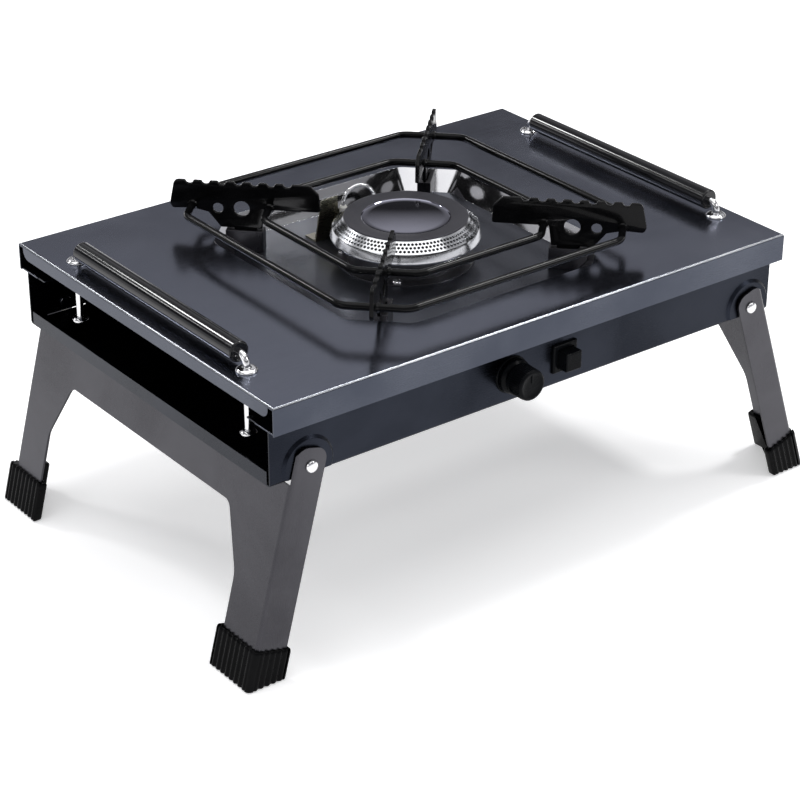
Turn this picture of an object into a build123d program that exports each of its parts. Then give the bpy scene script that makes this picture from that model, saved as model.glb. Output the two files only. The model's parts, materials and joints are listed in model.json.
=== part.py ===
from build123d import *
import os
from math import cos, radians, sin, sqrt

# Folding table-top gas stove, in millimetres.
# Everything is drawn about the centre of the worktop's upper face: +X to the right, +Y to the
# back, +Z up. It is moved to the final origin, on the floor under the middle of the whole stove's
# outline, when it is written.

# ---- driving dimensions ----
PLATE_WIDTH = 350.0
PLATE_DEPTH = 250.0
PLATE_TOP_Z = 161.0
SHEET = 0.8
FLANGE_HEIGHT = 16.0
HEM_HEIGHT = 8.0
HEM_GAP = 4.0
EDGE_RADIUS = 1.5

RECESS_HALF = 88.0
RECESS_CUT = 26.0
RECESS_DEPTH = 11.0
RECESS_WALL_RUN = 9.5
RECESS_CORNER = 8.0
RECESS_CUT_SHRINK = 2 - sqrt(2)

# The worktop rests on inward flanges of the housing, at the height of its own flanges' lower edge.
WALL_Y = {"front": 117.5, "back": 120.5}
HOUSING_HALF = 173.0
HOUSING_TOP = -FLANGE_HEIGHT
HOUSING_BOTTOM = -48.5
END_LIP_HEIGHT = 8.0
RETURN_FLANGE = 19.0
PLATE_RETURN = 17.0
FLANGE_SCREW_X = 160.0
FLANGE_SCREW_INSET = 6.5
SCREW_HOLE = 1.6
SCREW_RADIUS = 1.5
SCREW_HEAD_RADIUS = 2.7
SCREW_HEAD_HEIGHT = 1.75
AIR_SLOT_LENGTH = 36.0
AIR_SLOT_WIDTH = 5.0
AIR_SLOT_PITCH = 24.0
AIR_SLOT_ROW = 62.0

# The two leg frames lean outwards by different amounts, and their rivets differ to match.
PIVOT_X = {"left": 150.0, "right": 156.4}
LEG_TILT = {"left": 14.6, "right": 18.6}
PIVOT_Z = -42.0
PIVOT_RADIUS = 2.4
RUNNING_GAP = 0.1
BOSS_RADIUS = 16.0
BOSS_HEIGHT = 1.6
WASHER_HEIGHT = {"front": 0.7, "back": 3.9}
WASHER_RADIUS = 6.0
RIVET_HEAD_RADIUS = 3.6
RIVET_HEAD_HEIGHT = 2.0

LEG_SHEET = 1.2
LEG_PANEL_OUT = 10.6
LEG_FLANGE_IN = 8.6
LEG_TOP_ABOVE_PIVOT = 10.0
LEG_EAR_RADIUS = 7.0
LEG_PANEL_TOP = -10.6
LEG_BAND_BOTTOM = -38.0
LEG_TAPER_BOTTOM = -72.0
LEG_WIDTH_TOP = {"front": 46.5, "back": 43.5}
LEG_WIDTH_BOTTOM = {"front": 30.6, "back": 27.6}
LEG_BEND = 2.4
FRONT_FACE = -WALL_Y["front"]
LEG_OUTER_Y = {end: WALL_Y[end] + BOSS_HEIGHT + WASHER_HEIGHT[end] + RUNNING_GAP + LEG_SHEET
               for end in WALL_Y}

# Rubber shoes: an angle section that wraps both flanges of the leg.
FOOT_TOP = -102.5
FOOT_SKIN = 2.1
FOOT_END_SKIN = {"front": 2.1, "back": 5.8}
FOOT_FLANGE_LENGTH = 23.4
FOOT_PANEL_LENGTH = 36.8
FOOT_SOLE = 6.0

HANDLE_X = 162.0
HANDLE_Y = 83.0
HANDLE_Z = 8.0
ROD_RADIUS = 2.0
ROD_BEND = 5.5
ROD_BOTTOM = -37.0
GRIP_RADIUS = 5.8
GRIP_HALF_LENGTH = 77.0
FERRULE_RADIUS = 5.8
FERRULE_COLLAR = 4.0
FERRULE_HEIGHT = 2.0
FERRULE_BOTTOM = -3.0

BURNER_Y = -2.5
WIRE_RADIUS = 2.1
WIRE_Z = 15.0
WIRE_CORNER = 10.0
OUTER_RING_HALF = 98.5
INNER_RING_HALF = 67.5
RING_CUT = 26.0
FIN_SHEET = 2.2
FIN_INNER = 48.0
FIN_OUTER = 134.0
FIN_TOP = 29.4
FIN_BOTTOM = 13.8
FIN_TAB_INNER = 80.0
FIN_TAB_OUTER = 106.0
FIN_TAB_BOTTOM = 2.0
FIN_TONGUE_LENGTH = 12.0
FIN_TONGUE_DEPTH = 5.0
FIN_HOLES = ((93.0, 13.6, 4.6), (106.5, 13.4, 3.0))
FIN_ANGLES = (45, 135, 225, 315)
NOTCH_COUNT = 9
NOTCH_OUTER = 127.5
NOTCH_PITCH = 7.4
NOTCH_RADIUS = 2.3
SOCKET_INNER = 80.4
SOCKET_LENGTH = 21.6
SOCKET_WIDTH = 8.0
SOCKET_TOP = 1.5

CUP_RADIUS = 32.2
CUP_BOTTOM = -42.0
CUP_FLANGE_RADIUS = 39.0
BURNER_SCREW_RADIUS = 35.6
RIM_RADIUS = 42.6
RIM_BOTTOM = 3.0
RIM_TOP = 9.0
PORT_RING_TOP_RADIUS = 35.0
PORT_RING_BOTTOM_RADIUS = 41.2
CAP_Z = 15.0
CAP_DISC_RADIUS = 25.0

KNOB_X = -17.5
CONTROL_Z = -32.5
KNOB_FRONT_Y = -135.0
KNOB_SKIRT_RADIUS = 10.0
KNOB_GRIP_RADIUS = 9.0
KNOB_FLUTES = 22
STEM_RADIUS = 3.0
STEM_END_Y = -102.0
BEZEL_RADIUS = 10.8
VALVE_NECK_RADIUS = 4.5

BUTTON_X = 18.8
BUTTON_WIDTH = 10.6
BUTTON_HEIGHT = 10.6
BUTTON_FRONT_Y = -126.7
BUTTON_LENGTH = 14.0
PLUNGER_RADIUS = 2.6
IGNITER_FRAME = 3.0
BUTTON_GAP = 0.3
SLEEVE_WALL = 1.1
SLEEVE_LENGTH = 8.0
SPARK_FRONT_Y = -104.0
SPARK_REAR_Y = -72.0
SPARK_WIDTH = 14.0
SPARK_HEIGHT = 11.0

VALVE_REAR_Y = -92.0
VALVE_HALF = 11.0
PORT_Y = -104.0
PORT_Z = -26.0
TUBE_RADIUS = 8.0
TUBE_END_Y = -20.0
PIPE_RADIUS = 3.0
PIPE_BEND = 10.0
INLET_X = 128.0
INLET_Y = 60.0
INLET_Z = -22.0
SPIGOT_RADIUS = 4.25
SPIGOT_LENGTH = 23.0
SHOULDER_RADIUS = 6.0
SHOULDER_LENGTH = 4.0
INLET_HEX_LENGTH = 11.0
INLET_BORE = 2.2

ELECTRODE_X = -10.0
ELECTRODE_Y = 43.0
ELECTRODE_RADIUS = 1.1
CERAMIC_RADIUS = 2.3
CERAMIC_TOP = 8.0
LEAD_RADIUS = 1.3
BRACKET_Y = 45.4
BRACKET_SCREW_X = -21.0
BRACKET_SCREW_Y = 51.0
BRACKET_SHEET = 1.0
BOW_RADIUS = 9.7
BOW_HEADING = -11.9
BOW_BASE = 9.0

SIDES = {"left": -1, "right": 1}
ENDS = {"front": -1, "back": 1}


# ---- general helpers ----
def block(x0, x1, y0, y1, z0, z1):
    """Box between two opposite corners."""
    centre = Pos((x0 + x1) / 2, (y0 + y1) / 2, (z0 + z1) / 2)
    return centre * Box(abs(x1 - x0), abs(y1 - y0), abs(z1 - z0))


def tube_z(outer, inner, z0, z1):
    """Upright ring or, with inner 0, an upright cylinder."""
    middle = Pos(0, 0, (z0 + z1) / 2)
    ring = middle * Cylinder(outer, z1 - z0)
    if inner > 0:
        ring -= middle * Cylinder(inner, z1 - z0 + 2)
    return ring


def rod_y(radius, y0, y1):
    """Cylinder along Y, on the Y axis."""
    return Pos(0, (y0 + y1) / 2, 0) * Rot(90, 0, 0) * Cylinder(radius, abs(y1 - y0))


def rod_x(radius, x0, x1):
    """Cylinder along X, on the X axis."""
    return Pos((x0 + x1) / 2, 0, 0) * Rot(0, 90, 0) * Cylinder(radius, abs(x1 - x0))


def turned(profile):
    """Solid of revolution about Z from (radius, z) points."""
    outline = Polyline(*[(r, 0, z) for r, z in profile], close=True)
    return revolve(make_face(outline), Axis.Z)


def turned_y(profile):
    """Solid of revolution about Y from (radius, y) points."""
    outline = Polyline(*[(r, y, 0) for r, y in profile], close=True)
    return revolve(make_face(outline), Axis.Y)


def slab_xz(points, y0, y1):
    """Plate across Y from a closed (x, z) outline."""
    outline = make_face(Polyline(*[(x, y0, z) for x, z in points], close=True))
    return extrude(outline, y1 - y0, dir=(0, 1, 0))


def swept_rod(path, radius):
    """Round bar along a path."""
    section = Plane(origin=path @ 0, z_dir=path % 0) * Circle(radius)
    return sweep(section, path=path)


def octagon_points(half, cut):
    """Corners of a square with cut corners, counter-clockwise."""
    edge = half - cut
    return [(half, -edge), (half, edge), (edge, half), (-edge, half),
            (-half, edge), (-half, -edge), (-edge, -half), (edge, -half)]


def octagon(half, cut, radius, z):
    """Face shaped as a square with cut and rounded corners."""
    face = make_face(Polyline(*octagon_points(half, cut), close=True))
    return Pos(0, 0, z) * fillet(face.vertices(), radius)


def recess_volume(grow):
    """Tapered space of the worktop's recess, grown downwards and sideways by the sheet."""
    floor_half = RECESS_HALF - RECESS_WALL_RUN + grow
    floor_cut = RECESS_CUT - RECESS_WALL_RUN * RECESS_CUT_SHRINK
    top = octagon(RECESS_HALF + grow, RECESS_CUT, RECESS_CORNER, 0)
    floor = octagon(floor_half, floor_cut, RECESS_CORNER, -RECESS_DEPTH - grow)
    return Pos(0, BURNER_Y, 0) * loft([top, floor], ruled=True)


def on_corners(part, x, y):
    """Four copies of a part at (+-x, +-y), as drawn at the origin."""
    return [Pos(sx * x, sy * y, 0) * part for sx in SIDES.values() for sy in ENDS.values()]


def group(solids):
    """Separate solids kept in one node."""
    return Compound(children=[item if isinstance(item, Solid) else item.solids()[0] for item in solids])


def pan_head_screw(length, seat):
    """Slotted screw along Z: its shank runs down to -length, its domed head stands on the seat."""
    top = seat + SCREW_HEAD_HEIGHT
    screw = turned([(0, -length), (SCREW_RADIUS, -length), (SCREW_RADIUS, seat), (SCREW_HEAD_RADIUS, seat),
                    (SCREW_HEAD_RADIUS, seat + 0.8), (SCREW_HEAD_RADIUS - 0.6, top - 0.3), (0, top)])
    return screw - Pos(0, 0, top) * Box(3 * SCREW_HEAD_RADIUS, 0.7, 1.2)


def flange_screw_places():
    """Axes of the screws that join the housing's inward flanges to the worktop's."""
    return [Pos(side * FLANGE_SCREW_X, sign * (WALL_Y[end] - FLANGE_SCREW_INSET), HOUSING_TOP)
            for side in SIDES.values() for end, sign in ENDS.items()]


# ---- worktop ----
def make_top_plate():
    half_x = PLATE_WIDTH / 2
    half_y = PLATE_DEPTH / 2
    outer = block(-half_x, half_x, -half_y, half_y, -FLANGE_HEIGHT, 0)
    outer = fillet(outer.faces().sort_by(Axis.Z)[-1].edges(), EDGE_RADIUS)
    inner = block(-half_x + SHEET, half_x - SHEET, -half_y + SHEET, half_y - SHEET,
                  -FLANGE_HEIGHT - 1, -SHEET)
    inner = fillet(inner.faces().sort_by(Axis.Z)[-1].edges(), EDGE_RADIUS - SHEET)
    plate = outer - inner

    # The side hems are lower than the front flange, and stop short of the corners with round ends.
    hem_end = half_y - SHEET - HEM_GAP
    hem_round = HEM_HEIGHT - EDGE_RADIUS - 1
    hem_shape = fillet(
        (Plane.YZ * Rectangle(2 * hem_end, 2 * HEM_HEIGHT)).vertices(), hem_round)
    kept_hem = extrude(hem_shape, PLATE_WIDTH, both=True)
    flange_line = half_y - SHEET
    for side in SIDES.values():
        x0 = side * (half_x - SHEET)
        cutter = block(x0, side * (half_x + 1), -flange_line, flange_line, -FLANGE_HEIGHT - 1, -EDGE_RADIUS)
        plate -= cutter - kept_hem

    # The front and back flanges turn in below, to rest on the housing.
    for end in ENDS.values():
        plate += block(-half_x + SHEET, half_x - SHEET, end * half_y, end * (half_y - SHEET - PLATE_RETURN),
                       -FLANGE_HEIGHT, -FLANGE_HEIGHT + SHEET)

    recess = recess_volume(0)
    plate -= recess
    plate += recess_volume(SHEET) - recess - block(-200, 200, -200, 200, 0, 5)

    plate -= Pos(0, BURNER_Y, 0) * tube_z(CUP_RADIUS + 0.8, 0, -RECESS_DEPTH - 3, -RECESS_DEPTH + 3)
    plate -= Pos(ELECTRODE_X, ELECTRODE_Y, -RECESS_DEPTH) * Cylinder(CERAMIC_RADIUS + 0.4, 6)
    for hole in on_corners(Cylinder(FERRULE_COLLAR + 0.05, 6), HANDLE_X, HANDLE_Y):
        plate -= hole
    for angle in FIN_ANGLES:
        plate -= burner_screw_place(angle) * Cylinder(SCREW_HOLE, 8)
    plate -= Pos(BRACKET_SCREW_X, BRACKET_SCREW_Y, -RECESS_DEPTH) * Cylinder(SCREW_HOLE, 8)
    for place in flange_screw_places():
        plate -= place * Cylinder(SCREW_HOLE, 4)
    return plate


# ---- housing under the worktop ----
def make_housing():
    front = -WALL_Y["front"]
    back = WALL_Y["back"]
    outer = block(-HOUSING_HALF, HOUSING_HALF, front, back, HOUSING_BOTTOM, HOUSING_TOP)
    outer = fillet(outer.edges().filter_by(Axis.X).sort_by(Axis.Z)[:2], 1.6)
    inner = block(-HOUSING_HALF - 1, HOUSING_HALF + 1, front + SHEET, back - SHEET,
                  HOUSING_BOTTOM + SHEET, HOUSING_TOP - SHEET)
    housing = outer - inner
    housing -= block(-HOUSING_HALF - 1, HOUSING_HALF + 1, front + RETURN_FLANGE, back - RETURN_FLANGE,
                     HOUSING_TOP - 2 * SHEET, HOUSING_TOP + 1)

    # Low upturned lips close the bottom edge at the open ends.
    lip_gap = SHEET + 2.0
    for side in SIDES.values():
        housing += block(side * (HOUSING_HALF - SHEET), side * HOUSING_HALF, front + lip_gap, back - lip_gap,
                         HOUSING_BOTTOM, HOUSING_BOTTOM + END_LIP_HEIGHT)

    # A round boss is pressed out of the wall around each leg pivot.
    wall_window = block(-HOUSING_HALF, HOUSING_HALF, -200, 200, HOUSING_BOTTOM + 1.6, HOUSING_TOP - 1.6)
    for side_name, side in SIDES.items():
        place = Pos(side * PIVOT_X[side_name], 0, PIVOT_Z)
        for end_name, end in ENDS.items():
            face = end * WALL_Y[end_name]
            boss = turned_y([(0, face - end * SHEET / 2), (BOSS_RADIUS, face - end * SHEET / 2),
                             (BOSS_RADIUS, face), (BOSS_RADIUS - 1.6, face + end * BOSS_HEIGHT),
                             (0, face + end * BOSS_HEIGHT)])
            hollow = rod_y(BOSS_RADIUS - 2.4, face - end * (SHEET + 1), face + end * (BOSS_HEIGHT - SHEET))
            housing += (place * boss) & wall_window
            housing -= (place * hollow) & wall_window
            housing -= place * rod_y(PIVOT_RADIUS, face - end * 3, face + end * 4)

    housing -= Pos(KNOB_X, front, CONTROL_Z) * Rot(90, 0, 0) * Cylinder(VALVE_NECK_RADIUS + 0.2, 8)
    sleeve_x = BUTTON_WIDTH / 2 + BUTTON_GAP + SLEEVE_WALL + 0.1
    sleeve_z = BUTTON_HEIGHT / 2 + BUTTON_GAP + SLEEVE_WALL + 0.1
    housing -= block(BUTTON_X - sleeve_x, BUTTON_X + sleeve_x, front - 2, front + 2,
                     CONTROL_Z - sleeve_z, CONTROL_Z + sleeve_z)

    # Air slots in the bottom, under the burner.
    slot = extrude(SlotOverall(AIR_SLOT_LENGTH, AIR_SLOT_WIDTH), 4, both=True)
    for column in (-2, -1, 0, 1, 2):
        for row in (-1, 1):
            housing -= Pos(column * AIR_SLOT_PITCH, row * AIR_SLOT_ROW, HOUSING_BOTTOM) * Rot(0, 0, 90) * slot
    for place in flange_screw_places():
        housing -= place * Cylinder(SCREW_HOLE, 4)
    return housing


def make_flange_screws():
    """Four screws driven up through the housing's inward flanges into the worktop's."""
    screw = Rot(180, 0, 0) * pan_head_screw(3.0, SHEET)
    return group([place * screw for place in flange_screw_places()])


def make_leg_rivets():
    """Four rivets that the leg frames turn on."""
    rivets = []
    for side_name, side in SIDES.items():
        for end_name, end in ENDS.items():
            seat = LEG_OUTER_Y[end_name] + RUNNING_GAP
            tail = WALL_Y[end_name] + BOSS_HEIGHT - SHEET
            head = [(0, end * (tail - 1.4)), (3.4, end * (tail - 1.0)), (3.4, end * tail),
                    (PIVOT_RADIUS, end * tail), (PIVOT_RADIUS, end * seat),
                    (RIVET_HEAD_RADIUS, end * seat), (RIVET_HEAD_RADIUS, end * (seat + 0.4)),
                    (RIVET_HEAD_RADIUS * 0.85, end * (seat + RIVET_HEAD_HEIGHT * 0.65)),
                    (RIVET_HEAD_RADIUS * 0.5, end * (seat + RIVET_HEAD_HEIGHT * 0.93)),
                    (0, end * (seat + RIVET_HEAD_HEIGHT))]
            rivets.append(Pos(side * PIVOT_X[side_name], 0, PIVOT_Z) * turned_y(head))
    return group(rivets)


def make_leg_washers():
    """Spacers between the housing's bosses and the leg frames, thin in front and thick behind."""
    washers = []
    for side_name, side in SIDES.items():
        for end_name, end in ENDS.items():
            y0 = end * (WALL_Y[end_name] + BOSS_HEIGHT)
            y1 = y0 + end * WASHER_HEIGHT[end_name]
            ring = rod_y(WASHER_RADIUS, y0, y1) - rod_y(PIVOT_RADIUS + 0.02, y0 - end, y1 + end)
            washers.append(Pos(side * PIVOT_X[side_name], 0, PIVOT_Z) * ring)
    return group(washers)


# ---- folding leg frames ----
def leg_place(side_name):
    """From the leg's own frame (pivot at the origin, +X outboard, +Z up the leg) to the stove.

    The left leg is the right one turned half way round Z, which also swaps its ends.
    """
    side = SIDES[side_name]
    turn = Rot(0, -LEG_TILT[side_name], 0)
    if side < 0:
        turn = Rot(0, 0, 180) * turn
    return Pos(side * PIVOT_X[side_name], 0, PIVOT_Z) * turn


def leg_end_y(side_name, end_name):
    """Outer face of a leg's flange in the leg's own frame, and which way it faces."""
    sign = ENDS[end_name] * SIDES[side_name]
    return sign * LEG_OUTER_Y[end_name], sign


def leg_end_z(side_name, x):
    """Height of the floor in the leg's own frame, at a distance x outboard of the pivot."""
    floor = -PLATE_TOP_Z - PIVOT_Z
    tilt = radians(LEG_TILT[side_name])
    return (floor - x * sin(tilt)) / cos(tilt)


def make_leg_frame(side_name):
    front, front_sign = leg_end_y(side_name, "front")
    back, back_sign = leg_end_y(side_name, "back")
    front_in = front - front_sign * LEG_SHEET
    back_in = back - back_sign * LEG_SHEET
    bottom = leg_end_z(side_name, LEG_PANEL_OUT) + 5.0
    top = LEG_TOP_ABOVE_PIVOT
    outer = block(-LEG_FLANGE_IN, LEG_PANEL_OUT, front, back, bottom, top)
    outer = fillet(outer.edges().filter_by(Axis.Z).sort_by(Axis.X)[-2:], LEG_BEND)
    inner = block(-LEG_FLANGE_IN - 1, LEG_PANEL_OUT - LEG_SHEET, front_in, back_in, bottom - 1, top + 1)
    inner = fillet(inner.edges().filter_by(Axis.Z).sort_by(Axis.X)[-2:], LEG_BEND - LEG_SHEET)
    frame = outer - inner

    # The cross panel starts below the housing.
    frame -= block(-LEG_FLANGE_IN - 2, LEG_PANEL_OUT + 1, front_in, back_in, LEG_PANEL_TOP, top + 1)

    # Open gap between the two legs, wider at the bottom.
    def inside(end_name, widths):
        y, sign = leg_end_y(side_name, end_name)
        return y - sign * widths[end_name]

    gap = make_face(Polyline(
        (0, inside("front", LEG_WIDTH_BOTTOM), bottom - 20),
        (0, inside("front", LEG_WIDTH_BOTTOM), LEG_TAPER_BOTTOM),
        (0, inside("front", LEG_WIDTH_TOP), LEG_BAND_BOTTOM),
        (0, inside("back", LEG_WIDTH_TOP), LEG_BAND_BOTTOM),
        (0, inside("back", LEG_WIDTH_BOTTOM), LEG_TAPER_BOTTOM),
        (0, inside("back", LEG_WIDTH_BOTTOM), bottom - 20), close=True))
    upper_corners = [v for v in gap.vertices() if v.Z > LEG_BAND_BOTTOM - 1]
    gap = fillet(upper_corners, 6)
    elbows = [v for v in gap.vertices() if abs(v.Z - LEG_TAPER_BOTTOM) < 0.5]
    gap = fillet(elbows, 20)
    frame -= extrude(gap, 60, both=True, dir=(1, 0, 0))

    # Round ends of the pivot flanges.
    ear = Plane.XZ * make_face(Polyline(
        (-LEG_FLANGE_IN, LEG_PANEL_TOP), (LEG_PANEL_OUT, LEG_PANEL_TOP),
        (LEG_PANEL_OUT, top), (-LEG_FLANGE_IN, top), close=True))
    ear_corners = [v for v in ear.vertices() if v.Z > 0]
    rounded_ear = extrude(fillet(ear_corners, LEG_EAR_RADIUS), 200, both=True)
    head = block(-LEG_FLANGE_IN - 1, LEG_PANEL_OUT + 1, -200, 200, LEG_PANEL_TOP, top + 1)
    frame -= head - rounded_ear

    frame -= rod_y(PIVOT_RADIUS + 0.06, -200, 200)
    return leg_place(side_name) * frame


def make_foot(side_name, end_name, leg_frame):
    """Rubber shoe pushed onto the leg's end: an angle section with a level sole."""
    y, sign = leg_end_y(side_name, end_name)
    y_out = y + sign * FOOT_END_SKIN[end_name]
    y_in = y - sign * (LEG_SHEET + FOOT_SKIN)
    y_end = y_out - sign * FOOT_PANEL_LENGTH
    x_out = LEG_PANEL_OUT + FOOT_SKIN
    x_in = LEG_PANEL_OUT - LEG_SHEET - FOOT_SKIN
    x_end = x_out - FOOT_FLANGE_LENGTH
    low = leg_end_z(side_name, x_out) - FOOT_SOLE
    flange_arm = block(x_end, x_out, y_out, y_in, low, FOOT_TOP)
    panel_arm = block(x_in, x_out, y_out, y_end, low, FOOT_TOP)
    shoe = flange_arm + panel_arm
    outer_corner = [edge for edge in shoe.edges().filter_by(Axis.Z)
                    if abs(edge.center().X - x_out) < 0.1 and abs(edge.center().Y - y_out) < 0.1]
    shoe = fillet(outer_corner, LEG_BEND + 1.0)
    free_ends = [edge for edge in shoe.edges().filter_by(Axis.Z)
                 if abs(edge.center().X - x_end) < 0.1 or abs(edge.center().Y - y_end) < 0.1]
    shoe = fillet(free_ends, 1.5)
    shoe = leg_place(side_name) * shoe
    shoe -= block(-400, 400, -300, 300, -PLATE_TOP_Z - 40, -PLATE_TOP_Z)
    return shoe - leg_frame


# ---- carrying handles ----
def make_handle_rod(side):
    x = side * HANDLE_X
    path = FilletPolyline((x, -HANDLE_Y, ROD_BOTTOM), (x, -HANDLE_Y, HANDLE_Z),
                          (x, HANDLE_Y, HANDLE_Z), (x, HANDLE_Y, ROD_BOTTOM), radius=ROD_BEND)
    return swept_rod(path, ROD_RADIUS)


def make_handle_grip(side):
    sleeve = rod_y(GRIP_RADIUS, -GRIP_HALF_LENGTH, GRIP_HALF_LENGTH)
    sleeve = fillet(sleeve.edges(), 1.0)
    sleeve -= rod_y(ROD_RADIUS + 0.02, -GRIP_HALF_LENGTH - 1, GRIP_HALF_LENGTH + 1)
    return Pos(side * HANDLE_X, 0, HANDLE_Z) * sleeve


def make_handle_stops(side):
    """Push-on nuts at the rod's lower ends, which stop the raised handle."""
    nut = turned([(ROD_RADIUS + 0.02, -35.6), (4.6, -35.6), (4.6, -34.4), (3.2, -33.2),
                  (ROD_RADIUS + 0.02, -33.2)])
    return group([Pos(side * HANDLE_X, end * HANDLE_Y, 0) * nut for end in ENDS.values()])


def make_handle_ferrules():
    """Eyelets that the handle rods slide in."""
    bore = ROD_RADIUS + RUNNING_GAP
    ferrule = turned([(bore, FERRULE_BOTTOM), (FERRULE_COLLAR + 1.4, FERRULE_BOTTOM),
                      (FERRULE_COLLAR + 1.4, -SHEET - 0.6), (FERRULE_COLLAR, -SHEET),
                      (FERRULE_COLLAR, 0), (FERRULE_RADIUS, 0), (FERRULE_RADIUS, 0.7),
                      (FERRULE_RADIUS - 0.8, 1.5), (FERRULE_RADIUS - 2.0, FERRULE_HEIGHT),
                      (bore + 0.4, FERRULE_HEIGHT), (bore, FERRULE_HEIGHT - 0.4)])
    return group(on_corners(ferrule, HANDLE_X, HANDLE_Y))


# ---- pan support ----
def make_ring(half):
    """Square wire frame with cut, rounded corners, from two mirrored halves."""
    edge = half - RING_CUT
    path = FilletPolyline((0, -half, WIRE_Z), (edge, -half, WIRE_Z), (half, -edge, WIRE_Z),
                          (half, edge, WIRE_Z), (edge, half, WIRE_Z), (0, half, WIRE_Z),
                          radius=WIRE_CORNER)
    right_half = swept_rod(path, WIRE_RADIUS)
    return Pos(0, BURNER_Y, 0) * (right_half + mirror(right_half, Plane.YZ))


def make_fin(angle, rings):
    """Upright blade on a diagonal: notched top, lower tab with two holes, locating tongue."""
    profile = make_face(Polyline(
        (FIN_INNER, 0, FIN_BOTTOM), (FIN_TAB_INNER, 0, FIN_BOTTOM), (FIN_TAB_INNER + 1.5, 0, FIN_TAB_BOTTOM),
        (FIN_TAB_OUTER - 1.0, 0, FIN_TAB_BOTTOM), (FIN_TAB_OUTER + 6.0, 0, FIN_BOTTOM - 3),
        (FIN_OUTER - 3, 0, FIN_BOTTOM), (FIN_OUTER, 0, FIN_BOTTOM + 4), (FIN_OUTER - 1, 0, FIN_TOP),
        (FIN_INNER + 6, 0, FIN_TOP), (FIN_INNER + 1, 0, FIN_TOP - 5), close=True))
    soft = [v for v in profile.vertices() if v.Z > FIN_BOTTOM - 4 and (v.X < 60 or v.X > 108)]
    profile = fillet(soft, 1.8)
    fin = extrude(profile, FIN_SHEET / 2, both=True, dir=(0, 1, 0))
    for step in range(NOTCH_COUNT):
        x = NOTCH_OUTER - step * NOTCH_PITCH
        fin -= Pos(x, 0, FIN_TOP + NOTCH_RADIUS * 0.35) * Rot(90, 0, 0) * Cylinder(NOTCH_RADIUS, 10)
    for x, z, radius in FIN_HOLES:
        fin -= Pos(x, 0, z) * Rot(90, 0, 0) * Cylinder(radius, 10)
    tongue_x = SOCKET_INNER + SOCKET_LENGTH / 2
    fin += block(tongue_x - FIN_TONGUE_LENGTH / 2, tongue_x + FIN_TONGUE_LENGTH / 2,
                 -FIN_SHEET / 2, FIN_SHEET / 2, FIN_TAB_BOTTOM - FIN_TONGUE_DEPTH, FIN_TAB_BOTTOM + 1)
    fin = Pos(0, BURNER_Y, 0) * Rot(0, 0, angle) * fin
    for ring in rings:
        fin -= ring
    return fin


def make_pan_support_sockets():
    """Blocks in the recess corners, with a slot that takes each fin's tongue."""
    space = recess_volume(0) + Pos(0, BURNER_Y, 0) * extrude(
        octagon(RECESS_HALF, RECESS_CUT, RECESS_CORNER, 0), SOCKET_TOP + 1)
    tongue_x = SOCKET_INNER + SOCKET_LENGTH / 2
    slot_x = FIN_TONGUE_LENGTH / 2 + 0.4
    slot_y = FIN_SHEET / 2 + 0.4
    sockets = []
    for angle in FIN_ANGLES:
        body = block(SOCKET_INNER, SOCKET_INNER + SOCKET_LENGTH, -SOCKET_WIDTH / 2, SOCKET_WIDTH / 2,
                     -RECESS_DEPTH, SOCKET_TOP)
        body -= block(tongue_x - slot_x, tongue_x + slot_x, -slot_y, slot_y,
                      FIN_TAB_BOTTOM - FIN_TONGUE_DEPTH - 0.6, SOCKET_TOP + 1)
        sockets.append((Pos(0, BURNER_Y, 0) * Rot(0, 0, angle) * body) & space)
    return group(sockets)


# ---- burner ----
def burner_screw_place(angle):
    """Axis of one burner screw, on the recess floor."""
    x = BURNER_SCREW_RADIUS * cos(radians(angle))
    y = BURNER_SCREW_RADIUS * sin(radians(angle))
    return Pos(x, y + BURNER_Y, -RECESS_DEPTH)


def make_burner_cup():
    """Pressed bowl that the gas and air fill, hung in the recess by its flange."""
    wall = 0.8
    inner = CUP_RADIUS - wall
    floor = -RECESS_DEPTH
    cup = turned([(0, CUP_BOTTOM), (CUP_RADIUS - 2, CUP_BOTTOM), (CUP_RADIUS, CUP_BOTTOM + 2),
                  (CUP_RADIUS, floor), (CUP_FLANGE_RADIUS, floor), (CUP_FLANGE_RADIUS, floor + wall),
                  (CUP_RADIUS, floor + wall), (CUP_RADIUS, RIM_BOTTOM + wall), (inner, RIM_BOTTOM + wall),
                  (inner, CUP_BOTTOM + 2.4), (inner - 1.6, CUP_BOTTOM + wall), (0, CUP_BOTTOM + wall)])
    cup = Pos(0, BURNER_Y, 0) * cup
    cup -= Pos(KNOB_X, 0, CONTROL_Z) * rod_y(TUBE_RADIUS, -60, TUBE_END_Y + 4)
    for angle in FIN_ANGLES:
        cup -= burner_screw_place(angle) * Cylinder(SCREW_HOLE, 8)
    return cup


def make_burner_rim():
    """Polished collar round the burner head."""
    wall = 0.8
    return Pos(0, BURNER_Y, 0) * turned([
        (CUP_RADIUS, RIM_BOTTOM), (RIM_RADIUS - 0.8, RIM_BOTTOM), (RIM_RADIUS, RIM_BOTTOM + 0.8),
        (RIM_RADIUS, RIM_TOP - 1.8), (RIM_RADIUS - 0.7, RIM_TOP - 0.5), (PORT_RING_BOTTOM_RADIUS, RIM_TOP),
        (PORT_RING_BOTTOM_RADIUS - 2.2, RIM_TOP), (PORT_RING_BOTTOM_RADIUS - 2.2, RIM_TOP - wall),
        (RIM_RADIUS - wall, RIM_TOP - 2.2), (RIM_RADIUS - wall, RIM_BOTTOM + wall),
        (CUP_RADIUS, RIM_BOTTOM + wall)])


def make_burner_port_ring():
    """Sloping flame ring."""
    wall = 0.8
    top = PORT_RING_TOP_RADIUS
    low = PORT_RING_BOTTOM_RADIUS
    return Pos(0, BURNER_Y, 0) * turned([
        (low, RIM_TOP), (top, CAP_Z - 0.8), (top - 1.6, CAP_Z - 0.8), (top - 1.6, CAP_Z - 1.6),
        (top - wall, CAP_Z - 1.6), (low - 1.4, RIM_TOP)])


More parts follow.
